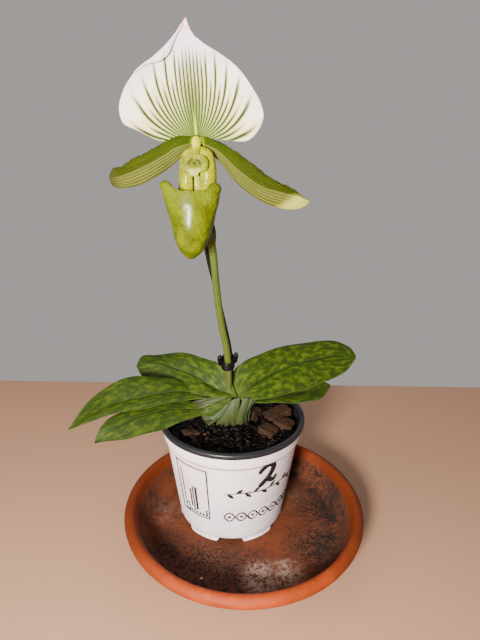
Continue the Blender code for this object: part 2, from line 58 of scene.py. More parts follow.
POT_X = -0.0082
POT_Y = 0.0163
POT_RIM_RADIUS = 0.0457
POT_TOP = 0.0782
POT_RIM_HEIGHT = 0.0036
POT_COLLAR_BOTTOM = 0.0668
POT_FOOT = 0.0063
POT_FOOT_HEIGHT = 0.0022
POT_WALL = 0.0012
POT_BASE_RADIUS = 0.034
POT_NECK_RADIUS = 0.042
POT_FEET = 6
FOOT_NOTCH_DEGREES = 12.3

MIX_TOP = 0.0715
CHIPS = 330
CHIP_TURN = 137.5  # degrees from each chip of the bed to the next, which spreads them evenly
HEAPED_CHIPS = 70
BARK_FIBRES = 26
STEM_HAIRS = 1500
OVARY_HAIRS = 700
BRACT_HAIRS = 120
PETAL_HAIRS = 60
PETAL_WARTS = 16
INK_THICKNESS = 0.00005
INK_PROUD = 0.0003
DEGREE = 0.66  # millimetres of the pot's wall in one degree around it
CROWN_X = -0.011
CROWN_Y = 0.0135
STAKE_FOOT = (-0.01, 0.0245)
HAIR_LEAN = 0.35  # how far the hairs of a stem point up along it
STEM_RADIUS = 0.002
STAKE_RADIUS = 0.0011
LEAF_THICKNESS = 0.001
PETAL_THICKNESS = 0.0007
LIP_THICKNESS = 0.0008
HUB = (-24.8, -19, 239)  # the middle of the flower, in millimetres

BOARD_BACK = 0.205
CAMERA_PLACE = (-0.0042, -0.2498, 0.237)
CAMERA_PITCH = 19.94
CAMERA_ROLL = 0.83
CAMERA_LENS = 27
LIGHT_LEVEL = 2.6  # how much brighter than its paint a surface that faces the lights looks
FLOWER_LIGHT = 4
BRIGHT_PRESS = 1.45  # how much the view darkens bright tones, and how fast that sets in
BRIGHT_POWER = 2.1
RICHNESS = 1.14  # how much stronger a colour has to be than it looks in the view
SEPAL_BASE = (-24.8, 238)  # where the veins of the large sepal start, in millimetres of x and z
SEPAL_LEAN = 0.06
VEIN_SPACING = 6.4  # degrees of its fan


def shade(red, green, blue, level=LIGHT_LEVEL):
    """The paint that shows as these 0 to 255 screen values under this scene's lights."""
    lit = []
    for value in (red, green, blue):
        value /= 255
        linear = value / 12.92 if value <= 0.04045 else ((value + 0.055) / 1.055) ** 2.4
        pressed = min(BRIGHT_PRESS * linear**BRIGHT_POWER, 0.9)
        lit.append(linear / (1 - pressed) / level)
    grey = sum(lit) / 3
    return (*[min(max(grey + (value - grey) * RICHNESS, 0.001), 0.9) for value in lit], 1)


def math_node(name, swapped=False):
    """A method of Wire that adds the Math node for one operation."""
    def work(self, *others):
        return self.maths(name, *((*others, self) if swapped else (self, *others)))
    return work


class Wire:
    """A shader socket. Arithmetic on it adds the Math nodes that work it out."""

    __add__ = __radd__ = math_node("ADD")
    __sub__ = math_node("SUBTRACT")
    __rsub__ = math_node("SUBTRACT", swapped=True)
    __mul__ = __rmul__ = math_node("MULTIPLY")
    __truediv__ = math_node("DIVIDE")
    __pow__ = math_node("POWER")
    __abs__ = math_node("ABSOLUTE")
    sine = math_node("SINE")
    whole = math_node("FLOOR")
    larger = math_node("MAXIMUM")

    def __init__(self, finish, socket):
        self.finish = finish
        self.socket = socket

    def maths(self, operation, *values):
        return self.finish.node("ShaderNodeMath", {"operation": operation}, values)

    def vectors(self, operation, other, out=0):
        settings = {"operation": operation}
        return self.finish.node("ShaderNodeVectorMath", settings, (self, other), out)

    def step(self, low, high):
        """0 below low and 1 above high, or the other way round where low is the higher."""
        ends = (low, high, 0, 1) if low <= high else (high, low, 1, 0)
        settings = {"interpolation_type": "SMOOTHSTEP"}
        return self.finish.node("ShaderNodeMapRange", settings, (self, *ends))

    def parts(self):
        made = self.finish.node("ShaderNodeSeparateXYZ", {}, (self,))
        return [Wire(self.finish, out) for out in made.socket.node.outputs[:3]]

    def grain(self, scale, detail=3, rough=0.5, bend=0):
        """Noise over this place."""
        sockets = {"Vector": self, "Scale": scale, "Detail": detail}
        sockets.update({"Roughness": rough, "Distortion": bend})
        return self.finish.node("ShaderNodeTexNoise", {}, sockets)

    def cells(self, scale, feature="F1"):
        sockets = {"Vector": self, "Scale": scale}
        return self.finish.node("ShaderNodeTexVoronoi", {"feature": feature}, sockets)

    def patches(self, edge, *places):
        """1 inside any round patch (x, y, radius) of the ground plan, with a ragged edge."""
        flat = self.vectors("MULTIPLY", (1, 1, 0))
        ragged = (self.grain(180, 5, 0.7) - 0.5) * (edge * 2.2)
        found = None
        for x, y, radius in places:
            away = flat.vectors("DISTANCE", (x, y, 0), 1) + ragged
            patch = away.step(radius + edge, radius - edge)
            found = found.larger(patch) if found else patch
        return found


class Finish:
    """A node material on one Principled shader, whose colour is painted in layers."""

    def __init__(self, name, light=LIGHT_LEVEL, **fixed):
        self.material = bpy.data.materials.new(name)
        self.material.use_nodes = True
        self.tree = self.material.node_tree
        self.shader = self.tree.nodes["Principled BSDF"]
        self.light = light
        for key, value in fixed.items():
            self.shader.inputs[key.replace("_", " ")].default_value = value

    def node(self, kind, settings, sockets=(), out=0):
        """Adds a node: its settings first, then the values or links of its sockets."""
        made = self.tree.nodes.new(kind)
        for key, value in settings.items():
            setattr(made, key, value)
        pairs = sockets.items() if isinstance(sockets, dict) else enumerate(sockets)
        for key, value in pairs:
            if isinstance(value, Wire):
                self.tree.links.new(value.socket, made.inputs[key])
            else:
                made.inputs[key].default_value = value
        return Wire(self, made.outputs[out])

    def spread(self):
        """The piece's own map: x across it and y along it."""
        return self.node("ShaderNodeUVMap", {"uv_map": MAP}).parts()[:2]

    def place(self):
        return self.node("ShaderNodeTexCoord", {}, (), 3)

    def vector(self, x, y, z=0):
        return self.node("ShaderNodeCombineXYZ", {}, (x, y, z))

    def mix(self, share, *paints):
        """Two paints mixed, each another mix or three screen values."""
        first, second = (p if isinstance(p, Wire) else shade(*p, self.light) for p in paints)
        sockets = {0: share, 6: first, 7: second}
        return self.node("ShaderNodeMix", {"data_type": "RGBA"}, sockets, 2)

    def layer(self, share, paint):
        """Covers this share of the colour with another paint."""
        self.colour = self.mix(share, self.colour, paint)

    def dress(self, rough=None, relief=None, distance=0.0003, strength=0.6):
        """Links the wires that vary over the surface to the shader."""
        links = {"Base Color": self.colour, "Roughness": rough}
        if relief:
            sockets = {"Strength": strength, "Distance": distance, "Height": relief}
            links["Normal"] = self.node("ShaderNodeBump", {}, sockets)
        for key, wire in links.items():
            if wire:
                self.tree.links.new(wire.socket, self.shader.inputs[key])
        return self.material


def joined(*values):
    """Arrays brought to one shape and joined into points or map places."""
    return np.stack(np.broadcast_arrays(*values), axis=-1)


def circle(count):
    """Evenly spaced angles of a whole turn."""
    return np.linspace(0, 2 * pi, count, endpoint=False)


def track(stations, at):
    """Values on a smooth track through stations of (place, value, value, ...)."""
    table = np.array(stations, float)
    knots, values = table[:, 0], table[:, 1:]
    slopes = np.gradient(values, knots, axis=0)
    at = np.clip(np.atleast_1d(at), knots[0], knots[-1])
    left = np.clip(np.searchsorted(knots, at, side="right") - 1, 0, len(knots) - 2)
    width = (knots[left + 1] - knots[left])[:, None]
    u = (at - knots[left])[:, None] / width
    start = (2 * u**3 - 3 * u**2 + 1) * values[left]
    start += (u**3 - 2 * u**2 + u) * width * slopes[left]
    end = (3 * u**2 - 2 * u**3) * values[left + 1]
    end += (u**3 - u**2) * width * slopes[left + 1]
    return start + end


def chords(points):
    """How far along the line each of its points is."""
    run = np.linalg.norm(np.diff(points, axis=0), axis=1)
    return np.concatenate([[0], np.cumsum(run)])


def through(points, count):
    """Evenly spaced places on a smooth curve through the points."""
    points = np.array(points, float)
    chord = chords(points)
    fine = track(np.column_stack([chord, points]), np.linspace(0, chord[-1], 400))
    length = chords(fine)
    even = np.linspace(0, length[-1], count)
    return np.column_stack([np.interp(even, length, values) for values in fine.T])


def unit(vectors):
    return vectors / np.linalg.norm(vectors, axis=-1, keepdims=True).clip(1e-12)


def ease(values, low, high):
    """0 below low and 1 above high, with a soft step between."""
    share = np.clip((np.asarray(values, float) - low) / (high - low), 0, 1)
    return share * share * (3 - 2 * share)


def weave(rows, columns, first=0, wrap=False, ring=False):
    """Quads over a grid of point numbers, which may close on itself across and along."""
    index = first + np.arange(rows * columns).reshape(rows, columns)
    if wrap:
        index = np.concatenate([index, index[:, :1]], axis=1)
    if ring:
        index = np.concatenate([index, index[:1]])
    corners = [index[:-1, :-1], index[:-1, 1:], index[1:, 1:], index[1:, :-1]]
    return np.stack(corners, axis=-1).reshape(-1, 4).tolist()


def placed(name, data):
    """A new object in the scene."""
    made = bpy.data.objects.new(name, data)
    bpy.context.scene.collection.objects.link(made)
    return made


class Body:
    """Gathers the points, faces, map and skins of one piece before they become a mesh."""

    def __init__(self):
        self.points = []
        self.maps = []
        self.faces = []
        self.skins = []

    def add(self, points, faces, maps, skin=0):
        first = len(self.points)
        self.points.extend(np.asarray(points, float).reshape(-1, 3).tolist())
        self.maps.extend(np.asarray(maps, float).reshape(-1, 2).tolist())
        self.faces.extend([[first + i for i in face] for face in faces])
        self.skins.extend(skin if isinstance(skin, list) else [skin] * len(faces))

    def sheet(self, grid, thick, maps, front=0, back=0, thin=0.5):
        """A closed thin sheet on a grid of points, which thins out towards its margins."""
        rows, columns = grid.shape[:2]
        normal = unit(np.cross(np.gradient(grid, axis=1), np.gradient(grid, axis=0)))
        across = np.abs(np.linspace(-1, 1, columns))[None, :]
        along = np.abs(np.linspace(-1, 1, rows))[:, None]
        taper = 1 - thin * np.maximum(across**8, along**16)
        offset = normal * (thick / 2 * taper)[..., None]
        count = rows * columns
        index = np.arange(count).reshape(rows, columns)
        edge = np.concatenate([index[0, :-1], index[:-1, -1], index[-1, :0:-1], index[:0:-1, 0]])
        after = np.roll(edge, -1)
        rim = np.stack([edge, after, after + count, edge + count], axis=-1).tolist()
        upper = weave(rows, columns)
        lower = [face[::-1] for face in weave(rows, columns, count)]
        skins = [front] * len(upper) + [back] * (len(lower) + len(rim))
        self.add([grid + offset, grid - offset], upper + lower + rim, [maps, maps], skins)

    def tube(self, points, count, radii, sides, ribs=0, rib=0, skin=0, twist=0):
        """A closed stem through points in millimetres, and its line and radii in metres."""
        line = through(points, count) * MM
        share = np.linspace(0, 1, count)
        radii = np.interp(share, np.linspace(0, 1, len(radii)), radii)
        along = unit(np.gradient(line, axis=0))
        side = np.zeros_like(line)
        last = np.array((1, 0, 0))
        for i, ahead in enumerate(along):
            last = last - ahead * np.dot(last, ahead)
            last = last / np.linalg.norm(last)
            side[i] = last
        other = np.cross(along, side)
        turns = circle(sides)
        angle = (turns + twist * share[:, None])[..., None]
        reach = (radii[:, None] * (1 + rib * np.cos(ribs * turns)))[..., None]
        wall = np.cos(angle) * side[:, None] + np.sin(angle) * other[:, None]
        self.skein(line[:, None] + reach * wall, joined(turns / pi - 1, share[:, None]), skin)
        return line, radii

    def skein(self, grid, maps, skin=0):
        """A body from closed rings, with a cap on its first and last ring."""
        rows, columns = grid.shape[:2]
        faces = weave(rows, columns, wrap=True)
        count = rows * columns
        faces += [[(i + 1) % columns, i, count] for i in range(columns)]
        last = count - columns
        faces += [[last + i, last + (i + 1) % columns, count + 1] for i in range(columns)]
        points = np.concatenate([grid.reshape(-1, 3), [grid[0].mean(0), grid[-1].mean(0)]])
        maps = np.concatenate([maps.reshape(-1, 2), [maps[0].mean(0), maps[-1].mean(0)]])
        self.add(points, faces, maps, skin)

    def make(self, name, finishes, slot, *nodes, smooth=True):
        """The finished piece, riding on the root body in place of its solids."""
        mesh = bpy.data.meshes.new(name)
        mesh.from_pydata(self.points, [], self.faces)
        for finish in finishes:
            mesh.materials.append(finish)
        mesh.polygons.foreach_set("material_index", self.skins)
        layer = mesh.uv_layers.new(name=MAP)
        corner = np.zeros(len(mesh.loops), int)
        mesh.loops.foreach_get("vertex_index", corner)
        layer.data.foreach_set("uv", np.array(self.maps)[corner].ravel())
        bm = bmesh.new()
        bm.from_mesh(mesh)
        bmesh.ops.recalc_face_normals(bm, faces=bm.faces)
        bm.to_mesh(mesh)
        bm.free()
        if smooth:
            mesh.shade_smooth()
        piece = placed(name, mesh)
        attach(piece, "root")
        if nodes:
            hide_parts(*nodes)


def cut_corners(profile):
    """An open profile with its corners rounded off."""
    points = np.array(profile, float)
    for _ in range(2):
        early = points[:-1] * 0.75 + points[1:] * 0.25
        late = points[:-1] * 0.25 + points[1:] * 0.75
        middle = np.stack([early, late], axis=1).reshape(-1, 2)
        points = np.concatenate([points[:1], middle, points[-1:]])
    return points


def turned(profile, steps, x=0, y=0):
    """Rings of a body of revolution, from the points of its profile that are off the axis."""
    turns = circle(steps)
    radius, height = (profile[:, i][:, None] for i in (0, 1))
    share = np.linspace(0, 1, len(profile))[:, None]
    grid = joined(x + radius * np.cos(turns), y + radius * np.sin(turns), height)
    return grid, joined(turns / pi - 1, share)


def soft_noise(points, scale, seed=0):
    """Smooth noise of about -1 to 1 at each point of a grid."""
    flat = points.reshape(-1, 3) * scale + seed
    values = [noise.noise(Vector(point)) for point in flat.tolist()]
    return np.array(values).reshape(points.shape[:-1])


def blade(midrib, side, halves, keel, rows, columns):
    """A leaf or petal as a grid bent along its midrib, with its map and the way it faces."""
    line = through(midrib, rows)
    share = np.linspace(0, 1, rows)
    along = unit(np.gradient(line, axis=0))
    side = unit((side, 0, 0) - along * side * along[:, :1])
    face = np.cross(side, along)
    across = np.linspace(-1, 1, columns)
    half = track(halves, share).clip(0.12)
    lift = track(keel, share) * np.abs(across) ** 1.3 * half
    grid = line[:, None] + side[:, None] * (across * half)[..., None]
    grid += face[:, None] * lift[..., None]
    return grid * MM, joined(across, share[:, None]), face


def rail_loft(middle, low, high, rows, columns, bulge):
    """A grid from a low rail over a middle one to a high rail, all from base to tip."""
    middle, low, high = (through(rail, rows)[:, None] for rail in (middle, low, high))
    across = np.linspace(-1, 1, columns)
    share = np.linspace(0, 1, rows)[:, None]
    away = np.abs(across)[:, None]
    rail = np.where(across[:, None] < 0, low, high)
    swell = np.sin(pi * share)[..., None] * np.array(bulge)
    grid = middle + (rail - middle) * away + swell * np.sin(pi * away)
    return grid, joined(across, share)


def terracotta():
    """Fired clay: clean and orange on the rim, painted darker towards its sides and back as shade,
    stained by water, algae and lime inside.
    """
    clay = Finish("terracotta", Specular_IOR_Level=0.2)
    where = clay.place()
    across, deep, height = where.parts()
    broad = where.grain(45, 4, 0.6)
    fine = where.grain(420, 4, 0.65)
    clay.colour = clay.mix(broad.step(0.35, 0.7), (166, 80, 44), (186, 100, 60))
    clay.layer(fine.step(0.55, 0.75) * 0.35, (204, 128, 90))
    # Painted shade: the clay is darker towards the sides and towards the back, where less of the
    # front lamp's light falls.
    clay.layer(abs(across).step(0.026, 0.07) * 0.8, (112, 54, 30))
    clay.layer(deep.step(0, 0.06) * 0.45, (104, 52, 32))
    inside = height.step(SAUCER_HEIGHT - 0.003, SAUCER_HEIGHT - 0.009)
    well = inside * where.patches(0.001, (0, 0, 0.0672))
    mottle = where.grain(70, 5, 0.65).step(0.38, 0.62)
    clay.layer(well * 0.94, clay.mix(mottle, (104, 61, 43), (134, 78, 54)))
    clean = where.patches(0.006, (0.036, 0, 0.01), (-0.034, -0.022, 0.008), (0.01, -0.026, 0.009),
                          (-0.06, 0.03, 0.009))
    clay.layer(clean * well * 0.45, (132, 72, 49))
    dust = where.patches(0.012, (-0.024, -0.044, 0.026), (-0.048, -0.028, 0.018), (0, -0.042, 0.018),
                         (0.046, -0.02, 0.018), (0.052, 0.012, 0.014))
    clay.layer(dust * well * 0.5, (98, 68, 52))
    crumbs = where.cells(660).step(0.62, 0.38) * where.grain(150, 4, 0.7).step(0.38, 0.5) * dust
    moss = where.grain(330, 6, 0.8).step(0.5, 0.6) * dust * well
    clay.layer(moss * 0.6, (54, 42, 34))
    specks = where.cells(1000).step(0.42, 0.2) * where.grain(90, 4, 0.7).step(0.46, 0.58)
    grit = crumbs.larger(specks) * well
    clay.layer(grit * 0.85, (32, 24, 21))
    algae = where.patches(0.006, (0.04, 0.052, 0.01), (0.052, 0.036, 0.01), (0.057, 0.02, 0.009),
                          (0.058, 0.003, 0.008), (0.054, -0.013, 0.007), (0.045, -0.022, 0.006),
                          (0.032, 0.06, 0.01), (-0.058, 0.014, 0.007))
    growth = where.grain(240, 6, 0.75).step(0.42, 0.58)
    clay.layer(algae * growth * well * 0.88, (40, 35, 33))
    lime = where.patches(0.006, (0.01, -0.042, 0.009), (0.024, -0.04, 0.008), (0.012, -0.052, 0.007))
    lime *= where.grain(420, 6, 0.85).step(0.42, 0.55)
    clay.layer(lime * well * 0.92, (190, 174, 162))
    film = where.patches(0.009, (-0.052, 0.006, 0.012), (0.034, 0.026, 0.008))
    haze = where.grain(260, 6, 0.75).step(0.42, 0.62)
    clay.layer(film * haze * well * 0.65, (146, 118, 100))
    relief = fine * 0.6 + grit * 1.4 + lime * 0.8 + broad * 0.5
    return clay.dress(well * 0.26 + 0.62, relief, 0.0003, 0.7)


def white_plastic():
    """Thin blown plastic: satin, slightly uneven, with faint scuffs and dust by the feet, painted
    shade on its right side and painted shadow lines under the collar and above the feet.
    """
    plastic = Finish("pot_white", IOR=1.46)
    where = plastic.place()
    across, _, height = where.parts()
    cloud = where.grain(60)
    plastic.colour = plastic.mix(cloud, (221, 216, 216), (208, 202, 203))
    # Painted shade: the right side of the pot is darker.
    plastic.layer(across.step(0, 0.034) * 0.5, (150, 138, 134))
    plastic.layer(where.grain(900, 4, 0.7, 1.5).step(0.64, 0.76) * 0.22, (170, 160, 154))
    # Painted shadow: thin dark lines at the step under the collar and just above the feet.
    crease = abs(height - (POT_COLLAR_BOTTOM - 0.0008)).step(0.00075, 0.00045)
    foot = abs(height - (POT_FOOT + POT_FOOT_HEIGHT + 0.0016)).step(0.0003, 0.0001)
    plastic.layer(crease.larger(foot) * 0.7, (90, 85, 86))
    grime = height.step(0.015, 0.007) * where.grain(220, 5, 0.7).step(0.4, 0.7)
    plastic.layer(grime * 0.55, (186, 150, 128))
    relief = cloud + where.grain(500, 2) * 0.12
    return plastic.dress(where.grain(130, 4) * 0.16 + 0.36, relief, 0.0004, 0.35)


def dark_plastic(name, dark, pale, rough):
    """Coloured moulded plastic with a fine texture and a few pale scuffs."""
    plastic = Finish(name, IOR=1.46, Specular_IOR_Level=0.3)
    where = plastic.place()
    plastic.colour = plastic.mix(where.grain(130, 4, 0.6), dark, pale)
    plastic.layer(where.grain(1200, 3, 0.7).step(0.66, 0.8) * 0.2, (120, 118, 116))
    return plastic.dress(where.grain(260) * 0.18 + rough, where.grain(1500), 0.0001, 0.4)


def ink(name, paint):
    """Printing ink or marker on plastic, a little patchy."""
    mark = Finish(name)
    worn = mark.place().grain(900, 4, 0.7)
    mark.colour = mark.mix(worn.step(0.35, 0.8) * 0.35, paint, (96, 92, 90))
    return mark.dress(worn * 0.2 + 0.35, worn, 0.00005, 0.4)


def bark(name, dark, pale, wet):
    """Damp bark: each chip has its own tone, with grain along it and pale flecks."""
    chip = Finish(name, Specular_IOR_Level=0.12)
    where = chip.place()
    tone, other = chip.spread()
    x, y, z = where.parts()
    fibre = chip.vector(x * 260, y * 900, z * 900).grain(1, 5, 0.7)
    rough_skin = where.grain(700, 6, 0.75)
    chip.colour = chip.mix(tone.step(0, 1) * 0.8 + fibre * 0.3 - 0.1, dark, pale)
    chip.layer(rough_skin.step(0.56, 0.72) * 0.45, pale)
    fleck = where.grain(1600, 2).step(0.68, 0.76) * other.step(0.55, 0.9)
    chip.layer(fleck * 0.6, (150, 120, 84))
    return chip.dress(rough_skin * 0.35 + wet, rough_skin + fibre * 0.7, 0.0006, 0.9)


def leaf_green(name, spots, tone):
    """Waxy leaf: soft pale and dark patches in rows across it, a midrib painted dark as shade in its
    groove, and painted shade on the left leaves and under the upper right leaf.
    """
    leaf = Finish(name, Specular_IOR_Level=0.14)
    where = leaf.place()
    across, along = leaf.spread()
    off = abs(across)
    wobble = leaf.vector(across * 2, along * 9, tone).grain(1, 2) - 0.5
    slant = along * spots + wobble * 1.2 - off * 1.2
    cloud = leaf.vector(across * 4.6 + wobble * 0.8, slant, tone).grain(1.15, 1, 0.4)
    small = leaf.vector(across * 13, along * spots * 3.2, tone).grain(1, 1)
    pattern = cloud + (small - 0.5) * 0.34
    near_rib = off.step(0.1, 0.02)
    pale = pattern.step(0.28, 0.66) * (1 - near_rib * 0.7) * (1 - off.step(0.9, 1) * 0.7)
    leaf.colour = leaf.mix(pale, (52, 74, 4), (80, 100, 16))
    leaf.layer(pattern.step(0.46, 0.8) * (1 - near_rib) * 0.85, (116, 132, 48))
    # Painted shade: the leaves on the left, and the lower leaf under the upper right one, are
    # darkened.
    sideways, _, height = where.parts()
    under_leaf_shade = sideways.step(0.01, 0.025) * height.step(0.096, 0.09)
    leaf.layer(sideways.step(-0.005, -0.05).larger(under_leaf_shade) * 0.42, (46, 62, 2))
    veins = (abs(across * 15 + wobble * 0.8) * (2 * pi)).sine().step(0.8, 1)
    leaf.layer(veins * 0.2, (36, 54, 6))
    # Painted shade in the groove of the sunken midrib.
    leaf.layer(off.step(0.034, 0.008) * 0.85, (24, 40, 6))
    streak = leaf.vector(across * 12, along * 3, tone).grain(1, 2).step(0.4, 0.62)
    leaf.layer(along.step(0.17, 0) * (streak * 0.5 + 0.3), (108, 122, 60))
    leaf.layer(off.step(0.975, 1) * 0.6, (126, 134, 62))
    relief = (pale - veins) * 0.25 + where.grain(900, 2) * 0.1
    return leaf.dress((1 - pale) * 0.08 + where.grain(200) * 0.1 + 0.52, relief)


def leaf_under(name):
    """The paler, duller underside of a leaf, with its raised midrib."""
    leaf = Finish(name, Roughness=0.65, Specular_IOR_Level=0.2)
    across, along = leaf.spread()
    off = abs(across)
    veins = (off * (30 * pi)).sine().step(0.7, 1)
    cloud = leaf.vector(across * 3, along * 14).grain(1)
    leaf.colour = leaf.mix(cloud.step(0.4, 0.65), (84, 104, 46), (106, 124, 64))
    leaf.layer(veins * 0.35, (74, 94, 40))
    leaf.layer(off.step(0.06, 0.02) * 0.7, (130, 142, 88))
    return leaf.dress(None, veins, 0.0002, 0.5)


def sheath_skin(name, main, pale, tan):
    """Old leaf bases: fibrous, pale along their margins, spotted with tan, torn at the foot."""
    sheath = Finish(name, Specular_IOR_Level=0.25)
    across, along = sheath.spread()
    where = sheath.place()
    fibre = sheath.vector(across * 14, along * 1.8).grain(1, 3, 0.6)
    sheath.colour = sheath.mix(fibre.step(0.36, 0.66), main, pale)
    lines = (across * 40).sine().step(0.7, 1)
    sheath.layer(lines * 0.4, (50, 64, 28))
    sheath.layer(abs(across).step(0.88, 0.99) * 0.45, (146, 150, 108))
    sheath.layer(where.grain(560, 3, 0.6).step(0.56, 0.68) * tan, (116, 92, 36))
    torn = along.step(0.34, 0.02) * where.grain(340, 4, 0.7).step(0.36, 0.56)
    sheath.layer(torn * 0.8, (62, 46, 28))
    return sheath.dress(torn * 0.3 + 0.48, fibre * 0.6 + lines * 0.5, 0.0003, 0.7)


def stem_skin(name, main, side, rib_count):
    """A finely ribbed green stem, its darker green painted into the valleys between the ribs as
    shade, with a dusting of darker hair bases.
    """
    stem = Finish(name, Specular_IOR_Level=0.2)
    where = stem.place()
    ribs = (stem.spread()[0] * (pi * rib_count)).sine()
    cloud = where.grain(160, 4, 0.6)
    # Partly painted shade: the darker side green fills the valleys between the ribs, and the cloud
    # also spreads it in patches.
    stem.colour = stem.mix((ribs.step(-0.6, 0.9) + cloud) * 0.5, side, main)
    dots = where.cells(1500).step(0.28, 0.16)
    stem.layer(dots * 0.45, (98, 82, 50))
    relief = ribs * 0.4 + dots * 0.6 + cloud * 0.3
    return stem.dress(cloud * 0.15 + 0.6, relief, 0.00015, 0.8)


def sepal_white(name, strength):
    """White, with dark green veins that fan out of its base and end short of its margin."""
    sepal = Finish(name, FLOWER_LIGHT, Specular_IOR_Level=0.15)
    where = sepal.place()
    x, _, z = where.parts()
    wobble = where.grain(70, 2) - 0.5
    above = z * 1000 - SEPAL_BASE[1]
    beside = abs(x * 1000 - SEPAL_BASE[0] + above * SEPAL_LEAN)
    square = beside * beside + above * above
    reach = square**0.5
    turn = beside.maths("ARCTAN2", beside, above) * 57.3
    fan = turn * (square * 0.00155 + 1) / (turn * square * 0.0000145 + 1) / VEIN_SPACING
    fan += wobble * 0.3
    number = (fan + 0.5).whole()
    away = abs(fan - number)
    odd = abs(number * 0.5 - (number * 0.5).whole()) * 2
    end = 39 - (fan - 6).larger(0) * 1.05 + wobble * 7
    left = end * (1 - odd * fan.step(2.5, 4) * 0.24) - reach
    half = reach**-1 * 0.85 + 0.155
    shown = left.step(0, 9)
    line = (half - away).step(-0.06, 0.08) * shown
    glow = (0.5 - away).step(0, 0.36) * left.step(-3, 12)
    sepal.colour = sepal.mix(where.grain(90), (230, 224, 229), (212, 206, 209))
    sepal.layer(reach.step(42, 20) * 0.55, (224, 222, 186))
    sepal.layer(reach.step(27, 7) * 0.85, (176, 190, 84))
    sepal.layer(fan.step(5, 0.8) * reach.step(40, 17) * 0.75, (142, 156, 76))
    sepal.layer(glow * (0.7 * strength), (162, 180, 82))
    sepal.layer(line * (0.95 * strength), (82, 102, 14))
    core = (half * 0.5 - away).step(-0.02, 0.04) * shown * reach.step(7, 14)
    sepal.layer(core * (0.6 * strength), (54, 72, 8))
    sepal.layer(above.step(41, 47) * 0.45, (226, 206, 190))
    sepal.layer(beside.step(0.9, 0.2) * above.step(15, 6) * 0.65, (216, 218, 150))
    sepal.layer(abs(sepal.spread()[0]).step(0.965, 1) * 0.3, (222, 208, 194))
    cells = where.grain(1100, 2)
    relief = line * 0.3 - glow * 0.5 + cells * 0.3
    return sepal.dress(cells * 0.12 + 0.7, relief, 0.0003, 0.8)


def petal_skin(name, tip, tip_start, tip_slant):
    """A petal in two bands: plain green above its crease, pale with green stripes below."""
    petal = Finish(name, FLOWER_LIGHT, Specular_IOR_Level=0.04)
    across, along = petal.spread()
    where = petal.place()
    wobble = where.grain(150, 2) - 0.5
    fibre = petal.vector(across * 18, along * 2.5).grain(1, 3, 0.65)
    green = petal.mix(along.step(0.1, 0.75), (88, 106, 12), (84, 92, 20))
    green = petal.mix(fibre.step(0.42, 0.7) * 0.6, green, (122, 132, 54))
    petal.colour = petal.mix(fibre.step(0.3, 0.7), (126, 130, 58), (168, 168, 104))
    stripe = (across * 33 + wobble * 3.4).sine().step(-0.1, 0.9)
    petal.layer(stripe * 0.7, (80, 92, 24))
    petal.layer((across + wobble * 0.08).step(-0.06, 0.08), green)
    petal.layer(abs(across + 0.04).step(0.07, 0.01) * along.step(0.7, 0.4) * 0.35, (160, 166, 90))
    petal.layer(abs(across).step(0.94, 1) * 0.55, (70, 72, 20))
    dust = where.cells(800).step(0.16, 0.08) * where.grain(260).step(0.5, 0.6)
    petal.layer(dust * 0.6, (204, 204, 150))
    petal.layer(along.step(0.085, 0.02) * 0.85, (190, 196, 96))
    end = along + wobble * 0.1 - across * tip_slant
    petal.layer(end.step(tip_start, tip_start + 0.12) * 0.92, tip)
    petal.layer(end.step(tip_start, 1) * stripe * 0.25, (108, 98, 50))
    relief = fibre * 0.5 - stripe * 0.3 + dust * 0.6
    return petal.dress(wobble * 0.2 + 0.72, relief, 0.0003, 0.8)


def lip_skin(name, main, deep, top, gloss, blur):
    """Glossy yellow-green skin of the slipper, dimpled and finely netted."""
    lip = Finish(name, FLOWER_LIGHT, Coat_Roughness=blur, Coat_IOR=1.4, Coat_Weight=gloss,
                 Specular_IOR_Level=0)
    _, along = lip.spread()
    where = lip.place()
    cloud = where.grain(150, 4, 0.6)
    lip.colour = lip.mix(cloud.step(0.36, 0.66), deep, main)
    lip.layer(along.step(0.26, 0) * 0.45, top)
    lip.layer(along.step(0.62, 1) * 0.5, deep)
    net = where.cells(420, "DISTANCE_TO_EDGE").step(0.12, 0.02)
    lip.layer(net * 0.12, (82, 92, 8))
    freckle = where.cells(1100).step(0.18, 0.1) * where.grain(300).step(0.5, 0.6)
    lip.layer(freckle * 0.35, (190, 194, 84))
    relief = where.grain(420) * 0.9 - net * 0.08 + cloud * 0.6
    return lip.dress(cloud * 0.1 + 0.55, relief, 0.001, 0.8)


def pale_flesh(name, first, second, marks):
    """Smooth, faintly veined flesh of the middle of the flower."""
    flesh = Finish(name, FLOWER_LIGHT, Coat_Weight=0.2, Coat_Roughness=0.25,
                   Specular_IOR_Level=0.2)
    cloud = flesh.place().grain(320, 3, 0.55)
    flesh.colour = flesh.mix(cloud.step(0.35, 0.7), first, second)
    streak = (flesh.spread()[0] * 20 + cloud * 4).sine().step(0.5, 1)
    flesh.layer(streak * marks, (128, 136, 40))
    return flesh.dress(cloud * 0.15 + 0.55, cloud, 0.0003, 0.5)


def column_skin():
    """The column: a whitish crest, then bright yellow-green down to the shield, with painted shade
    down its two sides.
    """
    column = Finish("column_yellow", FLOWER_LIGHT, Coat_Weight=0.2, Coat_Roughness=0.2,
                    Specular_IOR_Level=0.2)
    where = column.place()
    cloud = where.grain(300, 3, 0.55)
    column.colour = column.mix(cloud, (172, 178, 34), (194, 198, 60))
    column.layer(where.parts()[2].step(0.2345, 0.238) * 0.9, (236, 234, 176))
    # Painted shade: the column is darker down its left and right sides.
    side = abs(abs(column.spread()[0]) - 0.5).step(0.5, 0.1)
    column.layer(side * 0.35, (146, 152, 40))
    return column.dress(cloud * 0.12 + 0.55, cloud, 0.0003, 0.5)


